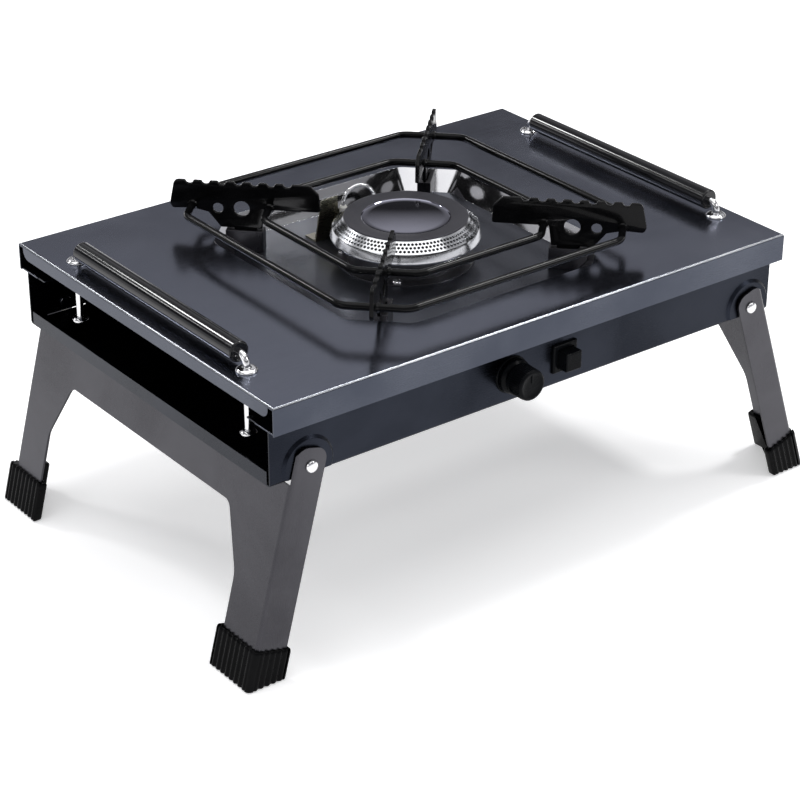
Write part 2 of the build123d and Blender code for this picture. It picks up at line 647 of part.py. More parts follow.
def make_burner_cap():
    """Round top of the burner: a flat band and a shallow middle dish."""
    return Pos(0, BURNER_Y, 0) * turned([
        (0, CAP_Z - 2.4), (CAP_DISC_RADIUS, CAP_Z - 2.4), (CAP_DISC_RADIUS + 1.0, CAP_Z - 1.6),
        (PORT_RING_TOP_RADIUS - 1.7, CAP_Z - 1.6), (PORT_RING_TOP_RADIUS - 1.7, CAP_Z - 0.8),
        (PORT_RING_TOP_RADIUS, CAP_Z - 0.8), (PORT_RING_TOP_RADIUS, CAP_Z - 0.4),
        (PORT_RING_TOP_RADIUS - 0.4, CAP_Z), (CAP_DISC_RADIUS, CAP_Z), (CAP_DISC_RADIUS - 1.2, CAP_Z - 1.0),
        (0, CAP_Z - 1.0)])


def make_burner_screws():
    """Four screws through the cup's flange."""
    screw = pan_head_screw(6.0, SHEET)
    return group([burner_screw_place(angle) * screw for angle in FIN_ANGLES])


def make_mixing_tube():
    """Venturi tube from the jet to the cup, with air windows at its mouth."""
    outer = rod_y(TUBE_RADIUS, VALVE_REAR_Y, TUBE_END_Y)
    inner = rod_y(TUBE_RADIUS - 1.0, VALVE_REAR_Y - 1, TUBE_END_Y + 1)
    tube = outer - inner
    window_y = VALVE_REAR_Y + 7
    tube -= block(-3.5, 3.5, window_y - 5, window_y + 5, -20, 20)
    tube -= block(-20, 20, window_y - 5, window_y + 5, -3.5, 3.5)
    return Pos(KNOB_X, 0, CONTROL_Z) * tube


# ---- gas train ----
def make_valve_body():
    """Brass tap body with a threaded neck through the front wall."""
    front = FRONT_FACE + SHEET
    body = block(-VALVE_HALF, VALVE_HALF, front, VALVE_REAR_Y, -VALVE_HALF, VALVE_HALF)
    body = chamfer(body.edges().filter_by(Axis.Y), 2.5)
    body += rod_y(VALVE_NECK_RADIUS, front, FRONT_FACE - 1.0)
    body -= rod_y(STEM_RADIUS + 0.05, FRONT_FACE - 3, STEM_END_Y + 2)
    return Pos(KNOB_X, 0, CONTROL_Z) * body


def make_gas_jet():
    """Brass jet screwed into the tap's rear."""
    jet = turned_y([(0, VALVE_REAR_Y), (4.0, VALVE_REAR_Y), (4.0, VALVE_REAR_Y + 4), (2.8, VALVE_REAR_Y + 5),
                    (2.8, VALVE_REAR_Y + 8), (1.4, VALVE_REAR_Y + 10), (0, VALVE_REAR_Y + 10)])
    jet -= Pos(0, VALVE_REAR_Y + 9, 0) * Rot(90, 0, 0) * Cylinder(0.4, 4)
    return Pos(KNOB_X, 0, CONTROL_Z) * jet


def make_gas_pipe():
    """Supply pipe from the inlet fitting to the tap."""
    path = FilletPolyline(
        (KNOB_X + VALVE_HALF, PORT_Y, PORT_Z), (KNOB_X + VALVE_HALF + 12, PORT_Y, PORT_Z),
        (KNOB_X + VALVE_HALF + 22, PORT_Y, INLET_Z), (INLET_X - 16, PORT_Y, INLET_Z),
        (INLET_X - 16, INLET_Y, INLET_Z), (INLET_X, INLET_Y, INLET_Z),
        radius=[6, 6, PIPE_BEND, PIPE_BEND])
    return swept_rod(path, PIPE_RADIUS)


def make_gas_inlet():
    """Brass inlet: hexagon, shoulder and the spigot that takes the hose."""
    shoulder_x = INLET_X + INLET_HEX_LENGTH
    spigot_x = shoulder_x + SHOULDER_LENGTH
    end_x = spigot_x + SPIGOT_LENGTH
    fitting = Pos(INLET_X, 0, 0) * Rot(0, 90, 0) * extrude(RegularPolygon(8, 6), INLET_HEX_LENGTH)
    fitting += rod_x(SHOULDER_RADIUS, shoulder_x, spigot_x)
    fitting += rod_x(SPIGOT_RADIUS, spigot_x, end_x)
    fitting -= rod_x(INLET_BORE, shoulder_x - 1, end_x + 1)
    return Pos(0, INLET_Y, INLET_Z) * fitting


def make_inlet_bracket():
    """Bent plate that carries the inlet on the housing's bottom."""
    x0 = INLET_X + INLET_HEX_LENGTH
    floor = HOUSING_BOTTOM + SHEET
    bracket = block(x0, x0 + 1.2, INLET_Y - 12, INLET_Y + 12, floor, INLET_Z + 10)
    bracket += block(x0 - 12, x0, INLET_Y - 12, INLET_Y + 12, floor, floor + 1.2)
    return bracket - Pos(0, INLET_Y, INLET_Z) * rod_x(SHOULDER_RADIUS, x0 - 2, x0 + 3)


# ---- control knob ----
def make_knob_bezel():
    bore = VALVE_NECK_RADIUS + 0.7
    ring = turned_y([(bore, FRONT_FACE), (BEZEL_RADIUS, FRONT_FACE), (BEZEL_RADIUS - 0.3, FRONT_FACE - 0.8),
                     (BEZEL_RADIUS - 0.8, FRONT_FACE - 1.0), (bore, FRONT_FACE - 1.0)])
    return Pos(KNOB_X, 0, CONTROL_Z) * ring


def make_control_knob():
    back = FRONT_FACE - 1.4
    front = KNOB_FRONT_Y
    knob = turned_y([
        (0, back), (KNOB_SKIRT_RADIUS - 0.5, back), (KNOB_SKIRT_RADIUS, back - 0.8),
        (KNOB_SKIRT_RADIUS - 0.6, back - 2.8), (KNOB_SKIRT_RADIUS - 2.0, back - 4.0),
        (KNOB_GRIP_RADIUS + 0.4, back - 6.0), (KNOB_GRIP_RADIUS, back - 8.0), (KNOB_GRIP_RADIUS - 0.3, front + 1.2),
        (KNOB_GRIP_RADIUS - 1.2, front + 0.2), (KNOB_GRIP_RADIUS - 2.2, front), (0, front)])
    flute_length = 8.0
    flute_y = front + flute_length / 2 - 0.5
    for step in range(KNOB_FLUTES):
        angle = 360 * step / KNOB_FLUTES
        flute = Pos(KNOB_GRIP_RADIUS + 0.35, flute_y, 0) * Rot(90, 0, 0) * Cylinder(0.8, flute_length)
        knob -= Rot(0, angle, 0) * flute
    knob -= block(-0.6, 0.6, front - 1, front + 0.6, 1.5, KNOB_GRIP_RADIUS - 1.8)
    knob -= rod_y(STEM_RADIUS, back - 11, back + 1)
    return Pos(KNOB_X, 0, CONTROL_Z) * knob


def make_valve_stem():
    """Tap spindle, gripped by the knob and turning in the tap's neck."""
    return Pos(KNOB_X, 0, CONTROL_Z) * rod_y(STEM_RADIUS, FRONT_FACE - 12.4, STEM_END_Y)


# ---- igniter ----
def igniter_block(width, height, y0, y1):
    """Block centred on the igniter's axis."""
    return block(BUTTON_X - width / 2, BUTTON_X + width / 2, y0, y1,
                 CONTROL_Z - height / 2, CONTROL_Z + height / 2)


def make_igniter_bezel():
    """Square frame in the front wall, with a sleeve that guides the button."""
    frame_y = FRONT_FACE - 2.0
    width = BUTTON_WIDTH + 2 * BUTTON_GAP
    height = BUTTON_HEIGHT + 2 * BUTTON_GAP
    face = igniter_block(BUTTON_WIDTH + 2 * IGNITER_FRAME, BUTTON_HEIGHT + 2 * IGNITER_FRAME, frame_y,
                         FRONT_FACE)
    face = chamfer(face.faces().sort_by(Axis.Y)[0].edges(), 0.7)
    sleeve = igniter_block(width + 2 * SLEEVE_WALL, height + 2 * SLEEVE_WALL, FRONT_FACE,
                           FRONT_FACE + SLEEVE_LENGTH)
    return face + sleeve - igniter_block(width, height, frame_y - 1, FRONT_FACE + SLEEVE_LENGTH + 1)


def make_igniter_button():
    rear = BUTTON_FRONT_Y + BUTTON_LENGTH
    cap = igniter_block(BUTTON_WIDTH, BUTTON_HEIGHT, BUTTON_FRONT_Y, rear)
    cap = fillet(cap.faces().sort_by(Axis.Y)[0].edges(), 0.8)
    return cap - igniter_block(BUTTON_WIDTH - 3, BUTTON_HEIGHT - 3, BUTTON_FRONT_Y + 2, rear + 1)


def make_igniter_plunger():
    """Square plunger of the spark unit, under the button."""
    head = igniter_block(BUTTON_WIDTH - 3.4, BUTTON_HEIGHT - 3.4, BUTTON_FRONT_Y + 2, BUTTON_FRONT_Y + 4)
    return head + Pos(BUTTON_X, 0, CONTROL_Z) * rod_y(PLUNGER_RADIUS, BUTTON_FRONT_Y + 4, -98)


def make_spark_unit():
    """Piezo spark unit behind the button, held by the bezel's sleeve."""
    body = igniter_block(SPARK_WIDTH, SPARK_HEIGHT, SPARK_FRONT_Y, SPARK_REAR_Y)
    body = chamfer(body.edges().filter_by(Axis.Y), 1.2)
    for edge in (-1, 1):
        x0 = BUTTON_X + edge * (BUTTON_WIDTH / 2 + BUTTON_GAP + SLEEVE_WALL)
        x1 = x0 + edge
        body += block(x0, x1, FRONT_FACE + 3, SPARK_FRONT_Y + 8, CONTROL_Z - 3, CONTROL_Z + 3)
    return body - Pos(BUTTON_X, 0, CONTROL_Z) * rod_y(PLUNGER_RADIUS + 0.3, SPARK_FRONT_Y - 1, -92)


def make_electrode_lead():
    """Insulated lead from the spark unit round the cup to the electrode."""
    path = FilletPolyline(
        (BUTTON_X, SPARK_REAR_Y, CONTROL_Z), (BUTTON_X, -58, CONTROL_Z), (44, -38, -38), (46, 18, -38),
        (24, 44, -38), (-3, ELECTRODE_Y + 3, -37), (ELECTRODE_X, ELECTRODE_Y, -31),
        (ELECTRODE_X, ELECTRODE_Y, -24), radius=[7, 7, 7, 7, 2.5, 2.5])
    return swept_rod(path, LEAD_RADIUS)


def make_electrode_rod():
    """Spark wire: straight through its insulator, then bowed over the burner's edge."""
    run_x = cos(radians(BOW_HEADING))
    run_y = sin(radians(BOW_HEADING))

    def arc_point(turn):
        away = BOW_RADIUS * (1 - cos(radians(turn)))
        height = BOW_BASE + BOW_RADIUS * sin(radians(turn))
        return (ELECTRODE_X + away * run_x, ELECTRODE_Y + away * run_y, height)

    straight = Line((ELECTRODE_X, ELECTRODE_Y, -24), (ELECTRODE_X, ELECTRODE_Y, BOW_BASE))
    bow = ThreePointArc(arc_point(0), arc_point(85), arc_point(168))
    return swept_rod(Wire([straight, bow]), ELECTRODE_RADIUS)


def make_electrode_insulator():
    bore = ELECTRODE_RADIUS + 0.02
    sleeve = turned([(bore, -21), (CERAMIC_RADIUS - 0.3, -21), (CERAMIC_RADIUS, -20.6),
                     (CERAMIC_RADIUS, CERAMIC_TOP - 1), (CERAMIC_RADIUS - 0.6, CERAMIC_TOP), (bore, CERAMIC_TOP)])
    return Pos(ELECTRODE_X, ELECTRODE_Y, 0) * sleeve


def make_electrode_bracket():
    """Bent plate on the recess floor that holds the insulator."""
    y0 = BRACKET_Y
    y1 = BRACKET_Y + BRACKET_SHEET
    floor = -RECESS_DEPTH
    web = slab_xz([(-28, floor), (-6, floor), (-6, 3), (-12, 6), (-12, 13.6), (-23.5, 13.2)], y0, y1)
    foot = block(-28, -14, y0, y0 + 10, floor, floor + BRACKET_SHEET)
    foot -= Pos(BRACKET_SCREW_X, BRACKET_SCREW_Y, floor) * Cylinder(SCREW_HOLE, 6)
    clip = Pos(ELECTRODE_X, ELECTRODE_Y, 0) * tube_z(CERAMIC_RADIUS + 1.1, CERAMIC_RADIUS + 0.05, -3, 3)
    clip -= block(-40, 40, -50, ELECTRODE_Y - 1.6, -9, 9)
    return web + foot + clip


def make_bracket_screw():
    return Pos(BRACKET_SCREW_X, BRACKET_SCREW_Y, -RECESS_DEPTH) * pan_head_screw(4.0, BRACKET_SHEET)


def make_parts():
    parts = {
        "top_plate": make_top_plate(),
        "housing": make_housing(),
        "flange_screws": make_flange_screws(),
        "leg_rivets": make_leg_rivets(),
        "leg_washers": make_leg_washers(),
        "handle_ferrules": make_handle_ferrules(),
        "pan_support_sockets": make_pan_support_sockets(),
        "burner_cup": make_burner_cup(),
        "burner_rim": make_burner_rim(),
        "burner_port_ring": make_burner_port_ring(),
        "burner_cap": make_burner_cap(),
        "burner_screws": make_burner_screws(),
        "mixing_tube": make_mixing_tube(),
        "valve_body": make_valve_body(),
        "gas_jet": make_gas_jet(),
        "gas_pipe": make_gas_pipe(),
        "gas_inlet": make_gas_inlet(),
        "inlet_bracket": make_inlet_bracket(),
        "knob_bezel": make_knob_bezel(),
        "control_knob": make_control_knob(),
        "valve_stem": make_valve_stem(),
        "igniter_bezel": make_igniter_bezel(),
        "igniter_button": make_igniter_button(),
        "igniter_plunger": make_igniter_plunger(),
        "spark_unit": make_spark_unit(),
        "electrode_lead": make_electrode_lead(),
        "electrode_rod": make_electrode_rod(),
        "electrode_insulator": make_electrode_insulator(),
        "electrode_bracket": make_electrode_bracket(),
        "bracket_screw": make_bracket_screw(),
    }
    rings = {"outer": make_ring(OUTER_RING_HALF), "inner": make_ring(INNER_RING_HALF)}
    for name, ring in rings.items():
        parts[f"pan_support_{name}_ring"] = ring
    for number, angle in enumerate(FIN_ANGLES, start=1):
        parts[f"pan_support_fin_{number}"] = make_fin(angle, rings.values())
    for side_name, side in SIDES.items():
        leg_frame = make_leg_frame(side_name)
        parts[f"{side_name}_leg_frame"] = leg_frame
        for end_name in ENDS:
            parts[f"foot_{end_name}_{side_name}"] = make_foot(side_name, end_name, leg_frame)
        parts[f"{side_name}_handle_rod"] = make_handle_rod(side)
        parts[f"{side_name}_handle_grip"] = make_handle_grip(side)
        parts[f"{side_name}_handle_stops"] = make_handle_stops(side)
    return parts


def foot_reach(side_name):
    """How far a side's shoes stand out from the middle, at the floor."""
    x_out = LEG_PANEL_OUT + FOOT_SKIN
    tilt = radians(LEG_TILT[side_name])
    return PIVOT_X[side_name] + x_out * cos(tilt) - leg_end_z(side_name, x_out) * sin(tilt)


def to_floor():
    """From the worktop's centre to the floor under the middle of the outline."""
    back_reach = LEG_OUTER_Y["back"] + FOOT_END_SKIN["back"]
    return Pos((foot_reach("left") - foot_reach("right")) / 2, -(back_reach + KNOB_FRONT_Y) / 2, PLATE_TOP_Z)


def write_parts():
    os.makedirs("parts", exist_ok=True)
    for name, part in make_parts().items():
        export_step(to_floor() * part, f"parts/{name}.step")


write_parts()
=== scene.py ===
import json
from math import atan2, cos, hypot, pi, radians, sin

import bmesh
import bpy
from mathutils import Matrix, Vector, noise


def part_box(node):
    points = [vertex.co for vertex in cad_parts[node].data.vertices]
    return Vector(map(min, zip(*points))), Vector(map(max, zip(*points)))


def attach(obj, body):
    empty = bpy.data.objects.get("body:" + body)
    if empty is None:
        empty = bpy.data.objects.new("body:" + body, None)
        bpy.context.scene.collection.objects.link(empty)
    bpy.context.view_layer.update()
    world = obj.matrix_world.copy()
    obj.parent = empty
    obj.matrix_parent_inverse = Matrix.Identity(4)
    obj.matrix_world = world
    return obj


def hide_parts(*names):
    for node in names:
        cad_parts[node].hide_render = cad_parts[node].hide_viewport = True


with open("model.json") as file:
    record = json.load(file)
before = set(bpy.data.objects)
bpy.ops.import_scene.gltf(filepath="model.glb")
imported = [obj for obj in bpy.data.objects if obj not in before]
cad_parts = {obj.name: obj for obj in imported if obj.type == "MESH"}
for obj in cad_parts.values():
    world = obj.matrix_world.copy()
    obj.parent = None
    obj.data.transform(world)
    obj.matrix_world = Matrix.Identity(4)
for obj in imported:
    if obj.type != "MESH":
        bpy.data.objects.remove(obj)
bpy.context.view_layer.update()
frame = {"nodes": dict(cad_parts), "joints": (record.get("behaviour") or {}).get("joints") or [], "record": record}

MM = 0.001
nodes = frame["nodes"]
slot_of = {part["node"]: part["material_slot"] for part in frame["record"]["subparts"]}
body_of = {node: body for body, members in frame["record"]["behaviour"]["bodies"].items()
           for node in members}


def middle(node):
    low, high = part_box(node)
    return (low + high) / 2


plate_low, plate_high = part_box("top_plate")
TOP = Vector(((plate_low.x + plate_high.x) / 2, (plate_low.y + plate_high.y) / 2, plate_high.z))


def spot(x, y, z):
    """A place given in millimetres from the middle of the worktop's upper face."""
    return TOP + Vector((x, y, z)) * MM


# ---- camera, floor and light ----
CAMERA_PLACE = spot(-762.91, -997.79, 554.72)
CAMERA_AZIMUTH = radians(-37.33)
CAMERA_ELEVATION = radians(27.62)
CAMERA_ROLL = radians(0.08)
LENS = 109.875
SENSOR = 36


def add_camera():
    az, el, roll = CAMERA_AZIMUTH, CAMERA_ELEVATION, CAMERA_ROLL
    right = Vector((cos(az), sin(az), 0))
    up = Vector((-sin(az) * sin(el), cos(az) * sin(el), cos(el)))
    back = Vector((sin(az) * cos(el), -cos(az) * cos(el), sin(el)))
    turned_right = right * cos(roll) + up * sin(roll)
    turned_up = up * cos(roll) - right * sin(roll)
    data = bpy.data.cameras.new("camera")
    data.lens = LENS
    data.sensor_width = SENSOR
    data.clip_end = 50
    camera = bpy.data.objects.new("camera", data)
    axes = Matrix((turned_right, turned_up, back)).transposed().to_4x4()
    camera.matrix_world = Matrix.Translation(CAMERA_PLACE) @ axes
    bpy.context.scene.collection.objects.link(camera)
    bpy.context.scene.camera = camera


# name, place in metres from the middle of the worktop, side in metres, power in watts
SOFT_LIGHTS = (
    ("key_right", (1.15, 0.0, 1.65), 0.32, 13),
    ("front_card", (0.75, -0.9, 0.75), 0.35, 3),
    ("ceiling", (0.0, 0.0, 2.6), 3.0, 42),
    ("rim_lamp", (-0.5, 1.6, 1.4), 0.25, 7),
    ("left_card", (-1.9, -0.2, 0.8), 0.8, 3),
    ("lamp_1", (-0.98, 1.52, 0.92), 0.15, 0.9),
    ("lamp_2", (-1.22, 1.36, 1.16), 0.15, 0.9),
)


def add_soft_light(name, place, size, power):
    """Square soft box that faces the stove."""
    data = bpy.data.lights.new(name, "AREA")
    data.shape = "RECTANGLE"
    data.size = size
    data.size_y = size
    data.energy = power
    light = bpy.data.objects.new(name, data)
    light.location = TOP + Vector(place)
    light.rotation_euler = (-Vector(place)).to_track_quat("-Z", "Y").to_euler()
    bpy.context.scene.collection.objects.link(light)


# height of the direction looked in, from 0 at the horizon to 1 overhead, and the grey seen there
SKY_STOPS = ((0.0, 0.90), (0.14, 0.80), (0.25, 0.08), (0.36, 0.04),
             (0.46, 0.72), (0.60, 0.45), (0.8, 0.25), (1.0, 0.35))
SKY_BLUE = 1.04


def add_world():
    """Pale at the horizon, then a dark band, a lighter band and a dim ceiling, which the metal mirrors."""
    world = bpy.data.worlds.new("studio")
    world.use_nodes = True
    tree = world.node_tree
    background = tree.nodes["Background"]
    place = tree.nodes.new("ShaderNodeTexCoord")
    split = tree.nodes.new("ShaderNodeSeparateXYZ")
    ramp = tree.nodes.new("ShaderNodeValToRGB")
    elements = ramp.color_ramp.elements
    while len(elements) < len(SKY_STOPS):
        elements.new(0.5)
    for element, (position, grey) in zip(elements, SKY_STOPS):
        element.position = position
        element.color = (grey, grey, grey * SKY_BLUE, 1)
    tree.links.new(place.outputs["Generated"], split.inputs[0])
    tree.links.new(split.outputs["Z"], ramp.inputs[0])
    tree.links.new(ramp.outputs[0], background.inputs["Color"])
    bpy.context.scene.world = world


# ---- materials ----
class Shader:
    """Small helper that builds a node material from textures in the object's own space."""

    def __init__(self, name):
        self.material = bpy.data.materials.new(name)
        self.material.use_nodes = True
        self.tree = self.material.node_tree
        self.shader = self.tree.nodes["Principled BSDF"]
        self.place = self.tree.nodes.new("ShaderNodeTexCoord").outputs["Object"]

    def set(self, **sockets):
        for socket, value in sockets.items():
            self.shader.inputs[socket.replace("_", " ")].default_value = value

    def noise(self, scale, stretch=(1, 1, 1), detail=4.0, rough=0.55, distortion=0.0):
        mapping = self.tree.nodes.new("ShaderNodeMapping")
        mapping.inputs["Scale"].default_value = stretch
        self.tree.links.new(self.place, mapping.inputs["Vector"])
        texture = self.tree.nodes.new("ShaderNodeTexNoise")
        texture.inputs["Scale"].default_value = scale
        texture.inputs["Detail"].default_value = detail
        texture.inputs["Roughness"].default_value = rough
        texture.inputs["Distortion"].default_value = distortion
        self.tree.links.new(mapping.outputs[0], texture.inputs["Vector"])
        return texture.outputs["Fac"]

    def cells(self, scale):
        """Soft pimples."""
        texture = self.tree.nodes.new("ShaderNodeTexVoronoi")
        texture.feature = "SMOOTH_F1"
        texture.inputs["Scale"].default_value = scale
        self.tree.links.new(self.place, texture.inputs["Vector"])
        return texture.outputs["Distance"]

    def spread(self, value, low, high, from_low=0.35, from_high=0.65):
        """Maps a texture value onto a range."""
        node = self.tree.nodes.new("ShaderNodeMapRange")
        node.inputs["From Min"].default_value = from_low
        node.inputs["From Max"].default_value = from_high
        node.inputs["To Min"].default_value = low
        node.inputs["To Max"].default_value = high
        self.tree.links.new(value, node.inputs["Value"])
        return node.outputs[0]

    def mix(self, factor, first, second):
        """Mixes two colours, each a tuple or an output."""
        colour_a, colour_b, colour_result = 6, 7, 2
        node = self.tree.nodes.new("ShaderNodeMix")
        node.data_type = "RGBA"
        self.tree.links.new(factor, node.inputs["Factor"])
        for socket, colour in ((colour_a, first), (colour_b, second)):
            if isinstance(colour, tuple):
                node.inputs[socket].default_value = (*colour, 1)
            else:
                self.tree.links.new(colour, node.inputs[socket])
        return node.outputs[colour_result]

    def add(self, first, second, weight):
        """First plus weight times second."""
        node = self.tree.nodes.new("ShaderNodeMath")
        node.operation = "MULTIPLY_ADD"
        self.tree.links.new(second, node.inputs[0])
        node.inputs[1].default_value = weight
        self.tree.links.new(first, node.inputs[2])
        return node.outputs[0]

    def colour(self, output):
        self.tree.links.new(output, self.shader.inputs["Base Color"])

    def roughness(self, output):
        self.tree.links.new(output, self.shader.inputs["Roughness"])

    def bump(self, output, strength, distance=0.0002):
        node = self.tree.nodes.new("ShaderNodeBump")
        node.inputs["Strength"].default_value = strength
        node.inputs["Distance"].default_value = distance
        self.tree.links.new(output, node.inputs["Height"])
        self.tree.links.new(node.outputs[0], self.shader.inputs["Normal"])


def metal(name, dark, light, rough, grain=(1, 1, 1), grain_scale=900.0, bump=0.05,
          scuff=None, scuff_share=0.62):
    """Bare metal: cloudy tint, directional grain in gloss and bump, sparse fine scuffs."""
    s = Shader(name)
    s.set(Metallic=1.0)
    clouds = s.noise(14.0, detail=5.0, distortion=0.4)
    lines = s.noise(grain_scale, grain, detail=3.0)
    base = s.mix(s.spread(clouds, 0.0, 1.0), dark, light)
    if scuff:
        marks = s.noise(grain_scale * 0.35, tuple(0.3 + 0.7 * g for g in grain), detail=6.0, rough=0.7)
        base = s.mix(s.spread(marks, 0.0, 0.6, scuff_share, scuff_share + 0.1), base, scuff)
    s.colour(base)
    patch = s.spread(clouds, rough[0], rough[1])
    s.roughness(s.add(patch, s.spread(lines, -1.0, 1.0), (rough[1] - rough[0]) * 0.4))
    s.bump(lines, bump, 0.0001)
    return s.material


def enamel(name, dark, light, rough):
    """Fired or powder coating: glossy, faintly uneven, with dust-fine specks."""
    s = Shader(name)
    s.set(Metallic=0.0, Coat_Weight=0.12, Coat_Roughness=0.05, Specular_IOR_Level=0.08)
    clouds = s.noise(60.0, detail=4.0)
    specks = s.noise(2600.0, detail=2.0)
    base = s.mix(s.spread(clouds, 0.0, 1.0), dark, light)
    s.colour(s.mix(s.spread(specks, 0.0, 0.5, 0.66, 0.74), base, tuple(3 * c + 0.004 for c in light)))
    s.roughness(s.spread(clouds, rough[0], rough[1]))
    s.bump(s.add(s.noise(700.0, detail=2.0), specks, 0.3), 0.12)
    return s.material


def moulded(name, dark, light, rough, grain_scale, bump, specular=0.5):
    """Moulded rubber or plastic: fine pimpled skin, handling sheen in patches."""
    s = Shader(name)
    s.set(Metallic=0.0, Specular_IOR_Level=specular)
    clouds = s.noise(45.0, detail=5.0, distortion=0.5)
    skin = s.cells(grain_scale)
    s.colour(s.mix(s.spread(clouds, 0.0, 1.0), dark, light))
    s.roughness(s.spread(clouds, rough[0], rough[1]))
    s.bump(s.add(skin, s.noise(grain_scale * 2.5, detail=3.0), 0.4), bump, 0.00015)
    return s.material


def make_materials():
    return {
        "worktop_steel": metal("worktop_steel", (0.158, 0.172, 0.222), (0.190, 0.205, 0.258), (0.18, 0.24),
                               grain=(0.04, 1, 1), grain_scale=2600.0, bump=0.012,
                               scuff=(0.25, 0.265, 0.31), scuff_share=0.70),
        # flanges and hems of the worktop sheet: a darker copy of the worktop steel, painted shade on the faces
        # that turn down and away from the light
        "flange_painted_shade": metal("flange_painted_shade", (0.052, 0.058, 0.076), (0.074, 0.081, 0.102), (0.22, 0.30),
                              grain=(0.04, 1, 1), grain_scale=2600.0, bump=0.02,
                              scuff=(0.14, 0.15, 0.18), scuff_share=0.70),
        # rounded fold edges: a lighter copy of the worktop steel, painted highlight along the folds
        "fold_edge_painted_highlight": metal("fold_edge_painted_highlight", (0.24, 0.25, 0.27), (0.34, 0.35, 0.37), (0.24, 0.34),
                                 grain=(0.1, 1, 1), grain_scale=2200.0, bump=0.02),
        # recess walls: a lighter, glossier copy of the worktop steel; the lighter base is painted reflection of
        # the lamps, the gloss is real
        "recess_wall_painted_reflection": metal("recess_wall_painted_reflection", (0.42, 0.42, 0.44), (0.56, 0.56, 0.57), (0.07, 0.12),
                               grain=(1, 1, 0.06), grain_scale=1500.0, bump=0.03),
        "housing_steel": metal("housing_steel", (0.012, 0.014, 0.020), (0.021, 0.024, 0.033), (0.26, 0.34),
                               grain=(0.04, 1, 1), grain_scale=2400.0, bump=0.03,
                               scuff=(0.09, 0.095, 0.115), scuff_share=0.70),
        "leg_steel": metal("leg_steel", (0.052, 0.051, 0.057), (0.076, 0.075, 0.083), (0.26, 0.36),
                           grain=(1, 1, 0.05), grain_scale=2400.0, bump=0.035,
                           scuff=(0.17, 0.17, 0.18), scuff_share=0.70),
        "bright_steel": metal("bright_steel", (0.66, 0.66, 0.67), (0.80, 0.80, 0.81), (0.07, 0.14),
                              grain=(1, 1, 0.2), grain_scale=1200.0, bump=0.015),
        "burner_steel": metal("burner_steel", (0.60, 0.61, 0.63), (0.76, 0.77, 0.79), (0.10, 0.18),
                              grain=(1, 1, 0.1), grain_scale=1400.0, bump=0.03),
        "burner_cap_steel": metal("burner_cap_steel", (0.22, 0.22, 0.27), (0.28, 0.28, 0.34), (0.04, 0.07),
                                  grain=(1, 1, 1), grain_scale=900.0, bump=0.02),
        "burner_band_steel": metal("burner_band_steel", (0.060, 0.060, 0.070), (0.095, 0.094, 0.108),
                                   (0.36, 0.46), grain=(1, 1, 1), grain_scale=1500.0, bump=0.06),
        # recess floor: a darker copy of the worktop steel, painted shade under the burner
        "recess_floor_painted_shade": metal("recess_floor_painted_shade", (0.075, 0.080, 0.100), (0.110, 0.117, 0.140),
                                    (0.26, 0.34), grain_scale=1800.0, bump=0.02),
        # burner cup: darkened steel, painted shade under the collar
        "burner_cup_painted_shade": metal("burner_cup_painted_shade", (0.085, 0.085, 0.095), (0.13, 0.13, 0.14),
                                  (0.34, 0.44), grain=(1, 1, 0.1), grain_scale=1600.0, bump=0.04),
        "brass": metal("brass", (0.56, 0.38, 0.14), (0.72, 0.52, 0.22), (0.20, 0.34),
                       grain=(1, 0.1, 1), grain_scale=1200.0, bump=0.05, scuff=(0.35, 0.22, 0.10)),
        "pipe_metal": metal("pipe_metal", (0.46, 0.47, 0.48), (0.60, 0.61, 0.62), (0.24, 0.38),
                            grain=(0.2, 1, 1), grain_scale=1100.0, bump=0.05),
        "bracket_steel": metal("bracket_steel", (0.14, 0.14, 0.11), (0.24, 0.22, 0.17), (0.24, 0.34),
                               grain=(0.1, 1, 1), grain_scale=1600.0, bump=0.05),
        "black_enamel": enamel("black_enamel", (0.0015, 0.0016, 0.0018), (0.003, 0.003, 0.0034),
                               (0.14, 0.24)),
        "grip_plastic": moulded("grip_plastic", (0.002, 0.0022, 0.003), (0.005, 0.0053, 0.0065),
                                (0.10, 0.16), 900.0, 0.02, 0.4),
        "black_plastic": moulded("black_plastic", (0.0015, 0.0018, 0.0025), (0.004, 0.0045, 0.0055),
                                 (0.22, 0.32), 1900.0, 0.2, 0.05),
        "foot_rubber": moulded("foot_rubber", (0.0012, 0.0013, 0.0015), (0.0035, 0.0035, 0.004),
                               (0.20, 0.32), 1400.0, 0.2, 0.06),
        "ceramic": moulded("ceramic", (0.62, 0.61, 0.57), (0.78, 0.77, 0.73), (0.16, 0.30), 1500.0, 0.08),
        "lead_sheath": moulded("lead_sheath", (0.055, 0.012, 0.010), (0.10, 0.022, 0.018), (0.34, 0.5),
                               1300.0, 0.15),
        "nylon": moulded("nylon", (0.30, 0.29, 0.26), (0.42, 0.41, 0.37), (0.36, 0.5), 1300.0, 0.15),
    }


# ---- mesh helpers ----
def bridge(bm, first, second):
    """Joins two closed rings of the same number of points with a band of quads."""
    count = len(first)
    for i in range(count):
        j = (i + 1) % count
        bm.faces.new((first[i], first[j], second[j], second[i]))


def new_piece(name, mesh_builder, body, finish, *replaced, smooth_angle):
    """Turns a filled bmesh into a piece that rides on a body."""
    mesh = bpy.data.meshes.new(name)
    bmesh.ops.recalc_face_normals(mesh_builder, faces=mesh_builder.faces)
    mesh_builder.to_mesh(mesh)
    mesh_builder.free()
    piece = bpy.data.objects.new(name, mesh)
    bpy.context.scene.collection.objects.link(piece)
    smooth(mesh, smooth_angle)
    mesh.materials.append(materials[finish])
    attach(piece, body)
    if replaced:
        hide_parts(*replaced)
    return piece


